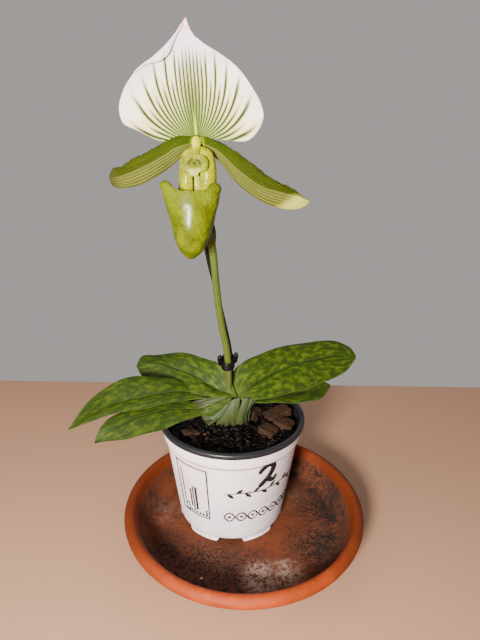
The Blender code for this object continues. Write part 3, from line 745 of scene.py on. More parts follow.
def shield_skin():
    """Pale shield: green arcs and a dot in its middle, and a blush on its tongue."""
    shield = Finish("shield_pale", FLOWER_LIGHT, Specular_IOR_Level=0.08)
    across, up = shield.spread()
    cloud = shield.place().grain(420, 3, 0.55)
    off = abs(across)

    def ring(middle, squash=1):
        """The distance from a place on the shield's middle line."""
        return (across * across + (up - middle) * (up - middle) * squash) ** 0.5

    shield.colour = shield.mix(cloud.step(0.35, 0.7), (158, 162, 56), (182, 184, 90))
    shield.layer(ring(0.08, 2.2).step(0.62, 0.2) * 0.75, (128, 138, 34))
    shield.layer(up.step(0.56, 0.68) * 0.75, (206, 202, 146))
    tongue = (up + 0.26).step(0.05, -0.22) * off.step(0.52, 0.38)
    shield.layer(tongue * 0.85, (208, 206, 158))
    arc = abs(ring(0.02, 1.4) + (cloud - 0.5) * 0.12 - 0.4).step(0.13, 0.03)
    gap = (off + (cloud - 0.5) * 0.06).step(0.03, 0.14)
    shield.layer(arc * (up + 0.1).step(-0.12, 0.2) * gap * 0.9, (84, 96, 10))
    shield.layer(ring(0.06).step(0.11, 0.06) * 0.9, (74, 84, 12))
    return shield.dress(cloud * 0.15 + 0.55, cloud, 0.0003, 0.4)


def lower_green():
    sepal = Finish("lower_sepal_green", FLOWER_LIGHT, Specular_IOR_Level=0.3)
    across, along = sepal.spread()
    vein = (across * (14 * pi)).sine().step(0.2, 0.9)
    sepal.colour = sepal.mix(along.step(0.1, 0.9), (170, 176, 104), (138, 146, 66))
    sepal.layer(vein * 0.65, (90, 106, 30))
    relief = sepal.place().grain(700) * 0.3 - vein * 0.4
    return sepal.dress(vein * 0.05 + 0.45, relief, 0.0003, 0.7)


def dull_skin(name, rough, grain, first, second, relief=0, distance=0.0002, strength=0.6):
    """A dull skin of two close paints, for the hairs, the white crumb or the board."""
    skin = Finish(name, Roughness=rough)
    where = skin.place()
    skin.colour = skin.mix(where.grain(*grain), first, second)
    return skin.dress(None, where.grain(relief) if relief else None, distance, strength)


def hair_skin():
    return dull_skin("hair_brown", 0.5, (800, 3), (58, 46, 26), (104, 92, 48))


def make_saucer():
    outer = SAUCER_RADIUS
    inner = outer - SAUCER_RIM_WIDTH
    foot = SAUCER_FOOT_RADIUS
    floor = SAUCER_FLOOR
    top = SAUCER_HEIGHT
    profile = cut_corners([
        (0.001, floor), (inner - 0.01, floor), (inner - 0.0066, floor + 0.0012),
        (inner - 0.0046, floor + 0.004), (inner - 0.0002, top - 0.003),
        (inner + 0.0012, top - 0.0007), (inner + 0.0034, top), (outer - 0.0012, top - 0.0014),
        (outer, top - 0.0036), (outer - 0.0004, top - 0.0058), (outer - 0.002, top - 0.0072),
        (outer - 0.0045, top - 0.0084), (foot + 0.0006, 0.0008), (foot - 0.0004, 0), (0.001, 0),
    ])
    grid, maps = turned(profile, 240)
    swell = soft_noise(grid, 35, 3) * 0.00018
    raised = ease(grid[..., 2], 0.0008, 0.004)
    outward = unit(grid * (1, 1, 0))
    grid = grid + outward * (swell * raised)[..., None]
    body = Body()
    body.skein(grid, maps)
    crumb = (-0.0242, -0.0445, floor + 0.0008)
    add_pebble(body, crumb, (0.0012, 0.0009, 0.0008), random.Random(4), 1)
    white = dull_skin("white_crumb", 0.8, (900, 3), (238, 232, 214), (206, 196, 172), 900)
    body.make("saucer_clay", [terracotta(), white], "terracotta", "saucer")


def hull(points):
    """The corners and faces of the smallest convex body around the points."""
    bm = bmesh.new()
    for point in points:
        bm.verts.new(point)
    bmesh.ops.convex_hull(bm, input=bm.verts)
    loose = [vertex for vertex in bm.verts if not vertex.link_faces]
    bmesh.ops.delete(bm, geom=loose, context="VERTS")
    return taken_from(bm)


def taken_from(bm):
    """The corners and faces of a bmesh, which is freed."""
    bm.verts.index_update()
    corners = [tuple(vertex.co) for vertex in bm.verts]
    faces = [[vertex.index for vertex in face.verts] for face in bm.faces]
    bm.free()
    return corners, faces


def add_pebble(body, centre, size, chance, skin=0, turn=Matrix.Identity(3), blocky=0):
    """An angular chip: the hull of random points in a flattened box."""
    points = []
    for _ in range(14):
        spot = Vector([chance.uniform(-1, 1) for _ in range(3)])
        spot = (spot.normalized() * (1 - blocky) + spot * blocky) * 0.8
        points.append(Vector(centre) + turn @ (spot * Vector(size)))
    corners, faces = hull(points)
    tone = (chance.random(), chance.random())
    body.add(corners, faces, [tone] * len(corners), skin)


def pot_radius(height):
    """The outer radius of the tapered wall below the collar."""
    bottom = POT_FOOT + POT_FOOT_HEIGHT
    share = (height - bottom) / (POT_COLLAR_BOTTOM - bottom)
    return POT_BASE_RADIUS + share * (POT_NECK_RADIUS - POT_BASE_RADIUS)


def make_pot():
    """The pot in two runs of its profile: dark from the inside to the rim, then white."""
    edge = POT_FOOT + POT_FOOT_HEIGHT
    plate = edge + 0.0015
    rim = POT_RIM_RADIUS
    collar = rim - 0.002
    under_rim = POT_TOP - POT_RIM_HEIGHT
    neck = POT_COLLAR_BOTTOM
    base = POT_BASE_RADIUS
    inside = rim - 0.0036
    dark = cut_corners([
        (0.001, plate + POT_WALL), (pot_radius(plate) - POT_WALL, plate + POT_WALL),
        (pot_radius(neck) - POT_WALL, neck), (inside, neck + 0.0012),
        (inside + 0.0004, POT_TOP - 0.0006), (inside + 0.001, POT_TOP), (rim - 0.001, POT_TOP),
        (rim, POT_TOP - 0.001), (rim - 0.0002, under_rim + 0.0004), (rim - 0.0014, under_rim),
    ])
    white = cut_corners([
        (rim - 0.0018, under_rim), (collar, under_rim - 0.0003), (collar - 0.0001, neck + 0.003),
        (collar - 0.0004, neck + 0.0004), (collar - 0.001, neck), (pot_radius(neck), neck - 0.0004),
        (pot_radius(0.06), 0.06), (pot_radius(0.04), 0.04), (pot_radius(0.02), 0.02),
        (base + 0.0001, edge + 0.0012), (base, edge), (base - 0.0009, edge - 0.0003),
    ])
    skirt = np.array([
        (base - 0.0006, edge - 0.0008), (base - 0.0003, edge - 0.0012), (base, edge - 0.0017),
        (base, POT_FOOT), (base - 0.0022, POT_FOOT), (base - 0.0026, edge - 0.0014),
        (base - 0.0028, edge + 0.0004), (base - 0.0028, plate), (0.001, plate),
    ])
    profile = np.concatenate([dark, white, skirt])
    steps = 288
    grid, maps = turned(profile, steps, POT_X, POT_Y)
    # The skirt is lifted in six notches, which leaves six feet with sloping ends.
    turns = np.degrees(circle(steps))
    spacing = 360 / POT_FEET
    from_notch = np.abs((turns - 90 + spacing / 2) % spacing - spacing / 2)
    foot = ease(from_notch, FOOT_NOTCH_DEGREES - 1.2, FOOT_NOTCH_DEGREES + 2.6)
    floor = POT_FOOT + (1 - foot) * (POT_FOOT_HEIGHT + 0.001)
    rows = slice(len(dark), len(profile) - 2)
    grid[rows, :, 2] = np.maximum(grid[rows, :, 2], floor[None, :])
    wall = ease(grid[..., 2], POT_FOOT + 0.005, POT_FOOT + 0.015)
    outward = unit((grid - (POT_X, POT_Y, 0)) * (1, 1, 0))
    grid += outward * (soft_noise(grid, 26, 8) * 0.0001 * wall)[..., None]
    walls = len(profile) - 1 - len(dark)
    skins = [0] * (len(dark) * steps) + [1] * (walls * steps) + [0] * steps + [1] * steps
    body = Body()
    body.skein(grid, maps, skins)
    rim_grey = dark_plastic("pot_rim_grey", (36, 36, 40), (52, 52, 56), 0.26)
    body.make("pot_shell", [rim_grey, white_plastic()], "pot_plastic", "pot")


def on_pot(degrees, height, proud=INK_PROUD):
    """A place on the pot's wall, by its angle to the right of the front and its height."""
    turn = np.radians(degrees)
    reach = pot_radius(height * MM) + proud
    return joined(POT_X + reach * np.sin(turn), POT_Y - reach * np.cos(turn), height * MM)


def stroke(body, path, width, closed=False, taper=0, proud=INK_PROUD):
    """A flat line of ink on the pot along a path of (degrees, millimetres of height)."""
    path = np.array(path + path[:1] if closed else path) * (DEGREE, 1)
    chord = chords(path)
    count = max(int(chord[-1] / 0.35), 6)
    if taper:
        fine = through(path, count)
    else:
        at = np.unique(np.concatenate([np.linspace(0, chord[-1], count), chord]))
        fine = np.column_stack([np.interp(at, chord, values) for values in path.T])
    ahead = unit(np.gradient(fine, axis=0))
    side = np.column_stack([-ahead[:, 1], ahead[:, 0]])
    share = np.linspace(-1, 1, len(fine))[:, None]
    wide = width / 2 * (1 - taper * np.abs(share) ** 6)
    across = np.array((-1, 0, 1))
    flat = fine[:, None] + side[:, None] * (wide * across)[..., None]
    grid = on_pot(flat[..., 0] / DEGREE, flat[..., 1], proud)
    body.sheet(grid, INK_THICKNESS, joined(across, share), thin=0)


def leaf_mark(body, degrees, height, length, lean, width, outline=False):
    """A small printed leaf, filled, or as a thin outline of two arcs."""
    turn = radians(lean)
    steps = np.linspace(0, 1, 9)
    bulge = np.sin(pi * steps) ** 0.8 * width / 2
    sides = []
    for side in (-bulge, bulge):
        x = steps * length * cos(turn) - side * sin(turn)
        z = steps * length * sin(turn) + side * cos(turn)
        sides.append(np.column_stack([degrees + x / DEGREE, height + z]))
    if outline:
        for side in sides:
            stroke(body, side, 0.85)
        return
    left, right = (side[:, None] for side in sides)
    share = np.linspace(0, 1, 5)[:, None]
    flat = left * (1 - share) + right * share
    grid = on_pot(flat[..., 0], flat[..., 1])
    body.sheet(grid, INK_THICKNESS, grid[..., :2] * 0, thin=0)


def make_print():
    """Plain printed marks: a thin frame with rules in it, a sprig and a row of leaves."""
    body = Body()
    frames = [(-52, -20, 24.5, 62.5, 0.75), (-46.5, -42.5, 25.5, 31, 0.6)]
    for left, right, low, high, width in frames:
        corners = [(left, low), (right, low), (right, high), (left, high)]
        stroke(body, corners, width, closed=True)
    rules = [(-38.5, 30, 44, 1), (-35.6, 28, 47, 0.9), (-32.4, 29, 47, 1.5), (-47, 32, 58, 0.7),
             (-22.6, 27, 31, 0.9)]
    rules += [(-40 + 3.4 * i, 25.8, 27.4, 1.2) for i in range(6)]
    for degrees, low, high, width in rules:
        stroke(body, [(degrees, low), (degrees, high)], width)
    stroke(body, [(-6, 47.2), (10, 47.9), (30, 47), (50, 47.6), (68, 47)], 0.75, taper=0.6)
    for i in range(9):
        leaf_mark(body, -3 + 7.6 * i, 47.4, 5.2, 42 if i % 2 else -42, 2.1)
    for i in range(7):
        leaf_mark(body, -6 + 11 * i, 28.6, 6.6, 0, 6.6, outline=True)
        leaf_mark(body, -3 + 11 * i, 28.6, 2.6, 0, 1.6)
    body.make("pot_print", [ink("print_grey", (44, 42, 44))], "pot_plastic")
    body = Body()
    hook = [(-4.8, 2.4), (-3.2, 5), (-0.4, 6.8), (2.2, 6.8), (3.2, 4.6), (2.4, 1.4), (-0.2, -2.4),
            (-4.2, -6.6)]
    foot = [(-4.2, -6.4), (-1.8, -3.4), (0.4, -2.4), (2.4, -4), (4.2, -4.4), (5.8, -2)]
    for line, width in ((hook, 3.5), (foot, 3)):
        path = np.array(line) * (1.6, 1.15) + (31, 58)
        stroke(body, path, width, taper=0.45, proud=0.00042)
    body.make("pot_marker_number", [ink("marker_black", (14, 13, 16))], "pot_plastic")


def tumbled(chance, **tilts):
    """A random turn about the upright axis, then a tilt of up to so much about each other."""
    turn = Matrix.Rotation(chance.uniform(0, 6.3), 3, "Z")
    for axis, most in tilts.items():
        turn = turn @ Matrix.Rotation(chance.uniform(-most, most), 3, axis)
    return turn


def make_mix():
    """Coarse damp bark: a rough dark bed with loose chips, flakes and fibres on it."""
    base = POT_FOOT + POT_FOOT_HEIGHT + 0.0018 + POT_WALL
    low, high = (pot_radius(height) - POT_WALL - 0.0006 for height in (base, 0.066))
    rings = 46
    top = [(ring, MIX_TOP) for ring in np.linspace(0.0008, high - 0.0012, rings)]
    side = [(high - 0.0004, MIX_TOP - 0.0016), (high, MIX_TOP - 0.0034), (high, 0.064), (low, base),
            (0.001, base)]
    grid, maps = turned(np.array(top + side), 150, POT_X, POT_Y)
    rough = soft_noise(grid, 170) * 0.0016 + soft_noise(grid, 420, 5) * 0.0008
    grid[:rings, :, 2] += rough[:rings]
    body = Body()
    body.skein(grid, maps * 0)
    chance = random.Random(11)
    for i in range(CHIPS):
        angle = i * radians(CHIP_TURN)
        reach = (high - 0.003) * sqrt((i + 0.5) / CHIPS)
        x = POT_X + reach * cos(angle) + chance.uniform(-0.001, 0.001)
        y = POT_Y + reach * sin(angle) + chance.uniform(-0.001, 0.001)
        length = chance.uniform(0.0014, 0.0046)
        in_crown = hypot((x - CROWN_X) / 0.011, (y - CROWN_Y) / 0.006) < 1
        if in_crown or hypot(x - STAKE_FOOT[0], y - STAKE_FOOT[1]) < 0.002 + length:
            continue
        size = (length, length * chance.uniform(0.4, 0.8), length * chance.uniform(0.25, 0.5))
        turn = tumbled(chance, X=0.7, Y=0.6)
        height = MIX_TOP + chance.uniform(-0.0008, 0.0012)
        kind = chance.random()
        skin = 2 if kind < 0.07 else 1 if kind < 0.34 else 0
        add_pebble(body, (x, y, height), size, chance, skin, turn, 0.8)
    # The bark is heaped against the front of the crown.
    for _ in range(HEAPED_CHIPS):
        x = chance.uniform(-0.023, 0.004)
        near = chance.random()
        length = chance.uniform(0.0012, 0.003)
        turn = tumbled(chance, X=0.7)
        height = MIX_TOP + 0.0008 + 0.0036 * near * chance.uniform(0.6, 1)
        size = (length, length * 0.7, length * 0.5)
        add_pebble(body, (x, 0.001 + 0.006 * near, height), size, chance, 0, turn, 0.8)
    for centre, size, turn, lean in (
        ((0.0208, 0.0224, 0.0738), (0.0086, 0.0054, 0.0026), 0.5, -0.22),
        ((0.0244, 0.012, 0.0732), (0.006, 0.0052, 0.0022), -0.4, 0.2),
        ((0.014, 0.004, 0.073), (0.0052, 0.005, 0.0022), -0.6, 0.2),
        ((0.006, 0.026, 0.073), (0.006, 0.0034, 0.0022), 1, 0.15),
        ((-0.033, 0.001, 0.0724), (0.0052, 0.0024, 0.0014), 0.4, 0.2),
    ):
        add_slab(body, Vector(centre), Vector(size), turn, lean)
    for _ in range(BARK_FIBRES):
        angle = chance.uniform(0, 2 * pi)
        reach = chance.uniform(0.018, 0.033)
        start = Vector((POT_X + reach * cos(angle), POT_Y + reach * sin(angle), MIX_TOP + 0.0014))
        heading = chance.uniform(0, 2 * pi)
        step = Vector((cos(heading), sin(heading), 0)) * chance.uniform(0.001, 0.002)
        end = start + step * 2
        if hypot(end.x - POT_X, end.y - POT_Y) > high - 0.006:
            continue
        bend = Vector((0, 0, chance.uniform(0.0004, 0.001)))
        points = [(start + step * k + bend * sin(k * 1.2)) / MM for k in (-2, -1, 0, 1, 2)]
        body.tube(points, 12, [chance.uniform(0.00016, 0.0004)], 6, skin=1)
    finishes = [
        bark("bark_black", (7, 4, 3), (29, 18, 12), 0.18),
        bark("bark_brown", (32, 20, 15), (78, 52, 38), 0.4),
        bark("bark_dry", (46, 32, 24), (92, 66, 46), 0.5),
    ]
    body.make("bark_bed", finishes, "bark_mix", "potting_mix", smooth=False)


def add_slab(body, centre, size, turn, lean):
    """A large piece of bark: a rounded block with flaky, fissured faces."""
    bm = bmesh.new()
    bmesh.ops.create_cube(bm, size=2)
    bmesh.ops.subdivide_edges(bm, edges=bm.edges, cuts=15, use_grid_fill=True)
    spin = Matrix.Rotation(turn, 3, "Z") @ Matrix.Rotation(lean, 3, "Y")
    for vertex in bm.verts:
        spot = vertex.co
        bulk = max(sum(abs(value) ** 6 for value in spot), 0.001)
        spot = spot / bulk ** (1 / 6) * size
        grain = noise.noise(spot * Vector((260, 700, 1500)))
        pit = noise.noise(spot * 420 + centre * 900)
        spot += spot.normalized() * (grain * 0.0005 + pit * 0.0007)
        vertex.co = centre + spin @ spot
    corners, faces = taken_from(bm)
    body.add(corners, faces, [(0.55, 0.9)] * len(corners), 2)


def make_crown():
    """The core of the plant, and the fan of old sheaths that sweeps up from it on each side."""
    body = Body()
    profile = cut_corners([
        (0.001, 0.09), (0.005, 0.0895), (0.0092, 0.087), (0.0108, 0.0826), (0.01, 0.0765),
        (0.009, 0.0715), (0.0076, 0.0664), (0.001, 0.0662),
    ])
    grid, maps = turned(profile, 72, CROWN_X)
    grid[..., 1] = CROWN_Y + 0.0012 + grid[..., 1] * 0.34
    maps[..., 1] = ease(grid[..., 2], 0.07, 0.1)
    body.skein(grid, maps)
    # Each sheath: its two margins with its fold between them, from the foot up, and its skin.
    sheaths = [
        ([(-22.5, 5.5, 75.5), (-18, 5.5, 78.5), (-13.5, 6, 83), (-10, 7, 90)],
         [(-25, 5, 78.5), (-20, 4.5, 80), (-14, 5.5, 85), (-9.5, 7, 91.5)],
         [(-26.5, 5.5, 80.5), (-22, 5.5, 81.5), (-14.5, 6.5, 87), (-8.5, 8, 93)], 1),
        ([(-27.5, 8.5, 85), (-24.5, 8, 85.5), (-18.5, 8, 87.5), (-9.5, 9, 91)],
         [(-30, 9.5, 86), (-26.5, 8.5, 87.5), (-18.5, 8.5, 90), (-9, 9, 92.5)],
         [(-33, 11.5, 87), (-28, 11, 89.5), (-18.5, 10.5, 92.5), (-8, 9.5, 93.5)], 0),
        ([(-18, 7, 74.5), (-17.5, 6.5, 77), (-15, 6.5, 82), (-9, 8, 91.5)],
         [(-12.5, 5.5, 75), (-11.5, 5, 79.5), (-9.5, 5.5, 85.5), (-6.5, 7.5, 93)],
         [(-5.5, 7, 75), (-5, 6.5, 80.5), (-4, 7, 87), (-3.5, 8, 93.5)], 0),
        ([(-6.5, 7.5, 74.5), (-5.5, 7, 80), (-3.5, 7, 86.5), (-2, 8, 93)],
         [(-3, 6.5, 74.5), (-2, 6.5, 81), (-0.5, 7, 86.5), (1.5, 8.5, 93)],
         [(-1, 8.5, 74.5), (-0.5, 8.5, 80.5), (1.5, 9.5, 85.5), (4, 10.5, 91)], 0),
        ([(-3.5, 8, 74.5), (-2, 8, 80.5), (1, 8.5, 86), (3.5, 9.5, 92)],
         [(0.5, 10, 74.5), (1, 10, 80.5), (3.5, 11, 85.5), (7, 12.5, 90)],
         [(-0.5, 14.5, 74.5), (1.5, 15, 80.5), (5, 16.5, 85.5), (9.5, 19.5, 90)], 1),
        ([(2, 14, 73), (3, 14.5, 80), (4.5, 16.5, 87), (6, 20, 95)],
         [(-10, 19, 73), (-9.5, 20, 80), (-8, 21, 87), (-6, 21, 96)],
         [(-22, 14.5, 73), (-23, 15, 79), (-24, 16.5, 84), (-24.5, 18.5, 90)], 0),
        ([(-24.5, 14, 74), (-25.5, 14, 78), (-27, 14, 82), (-30, 14, 86.5)],
         [(-23.5, 9, 74), (-25.5, 8.5, 77.5), (-27.5, 8.5, 81), (-31, 10, 85)],
         [(-18.5, 6.5, 74), (-21, 6.5, 77), (-25, 6.5, 80.5), (-29, 8, 84)], 1),
    ]
    chance = random.Random(5)
    columns = 31
    for low, fold, high, skin in sheaths:
        grid, maps = rail_loft(fold, low, high, 36, columns, (0, -0.5, 0))
        start = chance.uniform(0, 6)
        teeth = np.arange(columns) * 0.75
        ragged = np.sin(teeth + start) + 0.8 * np.sin(teeth * 2.3 + start * 2)
        grid[..., 2] += ragged * (1 - maps[..., 1]) ** 4
        body.sheet(grid * MM, 0.0006, maps, skin, skin)
    finishes = [
        sheath_skin("sheath_pale", (68, 80, 38), (100, 111, 66), 0.5),
        sheath_skin("sheath_grey", (62, 78, 38), (104, 120, 78), 0.1),
    ]
    body.make("crown_sheaths", finishes, "sheath", "crown")


def make_leaves():
    """The same blades as the solids, finer, with a sunken midrib and veins between."""
    # Each leaf: how many rows of patches it has, its midrib, and the margins to the left and
    # right of someone who looks from its base to its tip.
    leaves = [
        ("leaf_right_upper", 15,
         [(-5.5, 10.5, 93), (5, 19, 96.5), (17, 27, 100), (36.5, 38, 103), (53.5, 46, 103.5),
          (76, 53, 101.5)],
         [(-6, 13, 93.5), (-9, 18, 99.5), (-7.5, 21.5, 105), (-2, 25, 109), (10, 35, 111),
          (31.5, 49, 111.5), (51, 57, 111), (66, 61, 108.5), (74, 58.5, 105), (76, 54, 102)],
         [(-5, 9, 91.5), (5.5, 10, 91), (21, 15, 91), (40, 24, 92.5), (58, 34, 94), (68, 42, 96.5),
          (75.5, 51, 100.5)]),
        ("leaf_right_lower", 12,
         [(-3, 14, 87), (6, 18, 86.5), (22, 24, 86), (40, 31.5, 85.5), (51, 35.5, 85.5),
          (57, 38.5, 86.5)],
         [(-1.5, 16, 88), (22, 31, 88.5), (40.5, 38.5, 89), (51.5, 41, 89), (57, 39, 87)],
         [(-1.5, 12.5, 87), (10, 14, 86.5), (25, 17, 85), (39, 22, 83), (51.5, 30, 83),
          (57, 38, 86)]),
        ("leaf_left_upper", 13,
         [(-5.5, 9.5, 94), (-17.5, 12.5, 96), (-29, 18, 100.5), (-43.5, 24.5, 104), (-57, 29, 106),
          (-70.5, 31.5, 102.5)],
         [(-5, 9, 93), (-15.5, 6, 94.5), (-24.5, 7, 95), (-33.5, 10, 94.5), (-42.5, 14, 94),
          (-56, 20.5, 95), (-66, 26.5, 97), (-70.5, 31, 101.5)],
         [(-6, 12.5, 94.5), (-13.5, 19, 108), (-26, 27, 110.5), (-36.5, 31.5, 111.5),
          (-48, 35.5, 110), (-59.5, 37.5, 107.5), (-68, 36.5, 106.5), (-70.5, 32, 103.5)]),
        ("leaf_left_middle", 15,
         [(-24.5, 12, 92), (-40, 9, 96), (-51.5, 4.5, 97), (-61, 0, 97), (-78, -8.5, 96),
          (-87.5, -16, 93.5), (-97, -24, 90)],
         [(-23, 10, 91.5), (-39.5, 3, 93), (-53, -3, 93), (-66.5, -9, 93), (-80.5, -15.5, 93),
          (-91, -21.5, 91), (-97, -24.5, 89.5)],
         [(-24.5, 15, 93), (-41, 17, 100), (-52.5, 13, 104), (-63.5, 8, 107), (-75, 0, 107.5),
          (-86.5, -12, 103), (-92, -19, 97.5), (-97, -23.5, 90.5)]),
        ("leaf_left_lower", 13,
         [(-25, 9, 84), (-34, 7, 85.5), (-47, 2, 87.5), (-56, -4, 88.5), (-66.5, -11, 88),
          (-76.5, -18, 85), (-84, -22.5, 81)],
         [(-24.5, 6.5, 82.5), (-35.5, 0, 82), (-46, -6, 80.5), (-53, -10, 80), (-65.5, -16.5, 80),
          (-78.5, -21.5, 80.5), (-84, -23, 80.5)],
         [(-25.5, 11.5, 85.5), (-34.5, 12, 88), (-48, 9.5, 90), (-60, 3, 91), (-70, -5.5, 91.5),
          (-77.5, -12, 90), (-82, -18, 87), (-84, -22, 81.5)]),
        ("leaf_young", 5,
         [(-9, 7.5, 93), (-14.5, 6, 89), (-20.5, 5, 85.5), (-26.5, 5, 83)],
         [(-9, 7.5, 92), (-14.5, 6, 86.5), (-21.5, 5, 82), (-26.5, 5, 81.5)],
         [(-8.5, 9, 93.5), (-14.5, 8, 91), (-23, 7, 87.5), (-28, 6, 84.5)]),
    ]
    under = leaf_under("leaf_underside")
    for number, (name, spots, *rails) in enumerate(leaves):
        grid, maps = rail_loft(*rails, 110, 57, (0, 0, 0.9))
        across, share = np.moveaxis(maps, 2, 0)
        groove = -0.55 * np.exp(-(across / 0.045) ** 2) * (1 - 0.5 * share)
        veins = 0.035 * np.cos(across * 15 * 2 * pi) * (1 - across**2)
        puff = 0.3 * soft_noise(grid, 0.12, number) * (1 - across**2)
        wave = 0.35 * np.sin(share * 19 + number + across) * across**4 * ease(share, 0.1, 0.3)
        grid[..., 2] += groove + veins + puff + wave
        body = Body()
        body.sheet(grid * MM, LEAF_THICKNESS, maps, 0, 1, 0.75)
        top = leaf_green(name + "_green", spots, number * 7.3)
        body.make(name + "_blade", [top, under], "leaf", name)


def add_hair(body, foot, heading, length, skin=1, width=0.00005):
    """A short stiff hair, as a slim three-sided cone."""
    heading = unit(np.asarray(heading, float))
    first = unit(np.cross(heading, (0.31, 0.52, 0.79)))
    second = np.cross(heading, first)
    ring = [foot + width * (cos(a) * first + sin(a) * second) for a in (0, 2.09, 4.19)]
    faces = [[0, 1, 3], [1, 2, 3], [2, 0, 3], [2, 1, 0]]
    body.add([*ring, foot + heading * length], faces, [(0, 0)] * 4, skin)


def add_hairs(body, line, radii, count, length, chance):
    """Hairs all over a stem."""
    along = unit(np.gradient(line, axis=0))
    for _ in range(count):
        at = chance.uniform(0.01, 0.99) * (len(line) - 1)
        i = int(at)
        root = line[i] + (line[i + 1] - line[i]) * (at - i)
        turn = chance.uniform(0, 2 * pi)
        side = unit(np.cross(along[i], (cos(turn), sin(turn), 0.3)))
        add_hair(body, root + side * radii[i] * 0.97, side + along[i] * HAIR_LEAN,
                 length * chance.uniform(0.6, 1.2))


def make_stem():
    """The flowering stem, its pale sheath, and the ovary and bract on top of it."""
    chance = random.Random(21)
    hair = hair_skin()
    green = stem_skin("stem_green", (128, 138, 64), (72, 86, 28), 10)
    sheath = stem_skin("stem_sheath", (110, 120, 60), (84, 96, 40), 4)
    olive = stem_skin("ovary_green", (118, 122, 58), (80, 86, 32), 6)
    body = Body()
    line, radii = body.tube(
        [(-10.7, 13.8, 85), (-10.7, 13.6, 97), (-10.7, 11, 110), (-11.5, 7.4, 124),
         (-14.1, 1.6, 141), (-16.5, -6, 163), (-18.2, -13, 186), (-19.1, -15, 194),
         (-19.4, -15.3, 197.5)],
        120, STEM_RADIUS * np.array((1, 1, 1, 0.95, 0.9, 1.05)), 40, ribs=10, rib=0.018)
    # A thin pale sheath wraps the stem from the crown to the clip.
    body.tube([(-10.7, 13.8, 88), (-10.7, 13.2, 98), (-10.8, 10.8, 111)], 24,
              STEM_RADIUS * np.array((1.14, 1.04)), 28, ribs=2, rib=0.03, skin=2)
    add_hairs(body, line, radii, STEM_HAIRS, 0.00045, chance)
    body.make("stem_skin", [green, hair, sheath], "stem", "flower_stem")

    body = Body()
    line, radii = body.tube(
        [(-19.3, -15.3, 196.4), (-20.6, -15, 204), (-22.2, -12.4, 216),
         (-23.8, -9.8, 228), (-24.6, -11.2, 236.2), (-24.8, -15, 239), HUB],
        90, (0.0017, 0.0022, 0.0026, 0.0026, 0.0024, 0.0027), 48, ribs=6, rib=0.085, twist=0.5)
    add_hairs(body, line, radii, OVARY_HAIRS, 0.0005, chance)
    body.make("ovary_skin", [olive, hair], "stem", "ovary")

    grid, maps, face = blade(
        [(-18.6, -12.4, 189.5), (-19.4, -13.3, 196.5), (-20.2, -12.6, 202), (-21.2, -11.2, 208)],
        1, [(0, 1.6), (0.4, 2.8), (1, 0.4)], [(0, 0.05), (1, 0.05)], rows=50, columns=27)
    ribs = 0.05 * np.cos(maps[..., 0] * 5 * pi)
    grid = grid + face[:, None] * (ribs * MM)[..., None]
    body = Body()
    body.sheet(grid, PETAL_THICKNESS, maps)
    for _ in range(BRACT_HAIRS):
        root = grid[chance.randrange(2, 48), chance.randrange(0, 27)]
        add_hair(body, root, (0, 1, 0.25), 0.0008)
    body.make("bract_skin", [olive, hair], "stem", "bract")


def make_stake_and_clip():
    black = dark_plastic("gloss_black", (6, 6, 9), (15, 15, 19), 0.3)
    radii = np.full(90, STAKE_RADIUS)
    radii[-3:] *= (0.95, 0.75, 0.35)
    body = Body()
    body.tube(
        [(-10, 24.6, 66.5), (-10, 24.4, 73), (-10, 22.9, 82), (-9.4, 18.9, 97), (-8.8, 14.4, 113),
         (-9.9, 11.2, 124), (-13.2, 5.4, 143), (-17, -0.8, 163), (-20.8, -6.8, 181),
         (-22.4, -10.2, 192)], 90, radii, 20)
    body.make("stake_rod", [black], "black_plastic", "stake")

    # The clip: a deep band around the stem and the stake, taller behind, and two ears.
    body = Body()
    around, section = 72, 20
    turns = circle(around)[:, None]
    edges = circle(section)
    across, up = (np.sign(wave) * np.abs(wave) ** 0.35 for wave in (np.cos(edges), np.sin(edges)))
    outward = 0.00085 * across
    tall = np.where(up > 0, 0.0021 + 0.0025 * ease(np.sin(turns), -0.5, 0.3), 0.0025)
    grid = joined((0.0032 + outward) * np.cos(turns), (0.005 + outward) * np.sin(turns), up * tall)
    spin = np.array(Matrix.Rotation(radians(-8), 3, "Z"))
    grid = grid @ spin.T + (-0.011, 0.0118, 0.1142)
    body.add(grid, weave(around, section, wrap=True, ring=True), np.zeros((around, section, 2)))
    rows, columns = 40, 15
    up = np.linspace(0, 1, rows)[:, None]
    across = np.linspace(-1, 1, columns)
    for side, root in ((-1, (-0.0153, 0.0112, 0.1146)), (1, (-0.0069, 0.0122, 0.116))):
        lean = np.array(Matrix.Rotation(side * 0.22, 3, "Y"))
        teeth = side * 0.0003 * np.cos(up * 8 * pi)
        flat = joined(teeth, across * (0.0023 - 0.0003 * across**2), up * 0.005 - 0.0006)
        body.sheet(flat @ lean.T + root, 0.0022, np.zeros((rows, columns, 2)), thin=0.3)
    body.make("clip_jaws", [black], "black_plastic", "stem_clip")


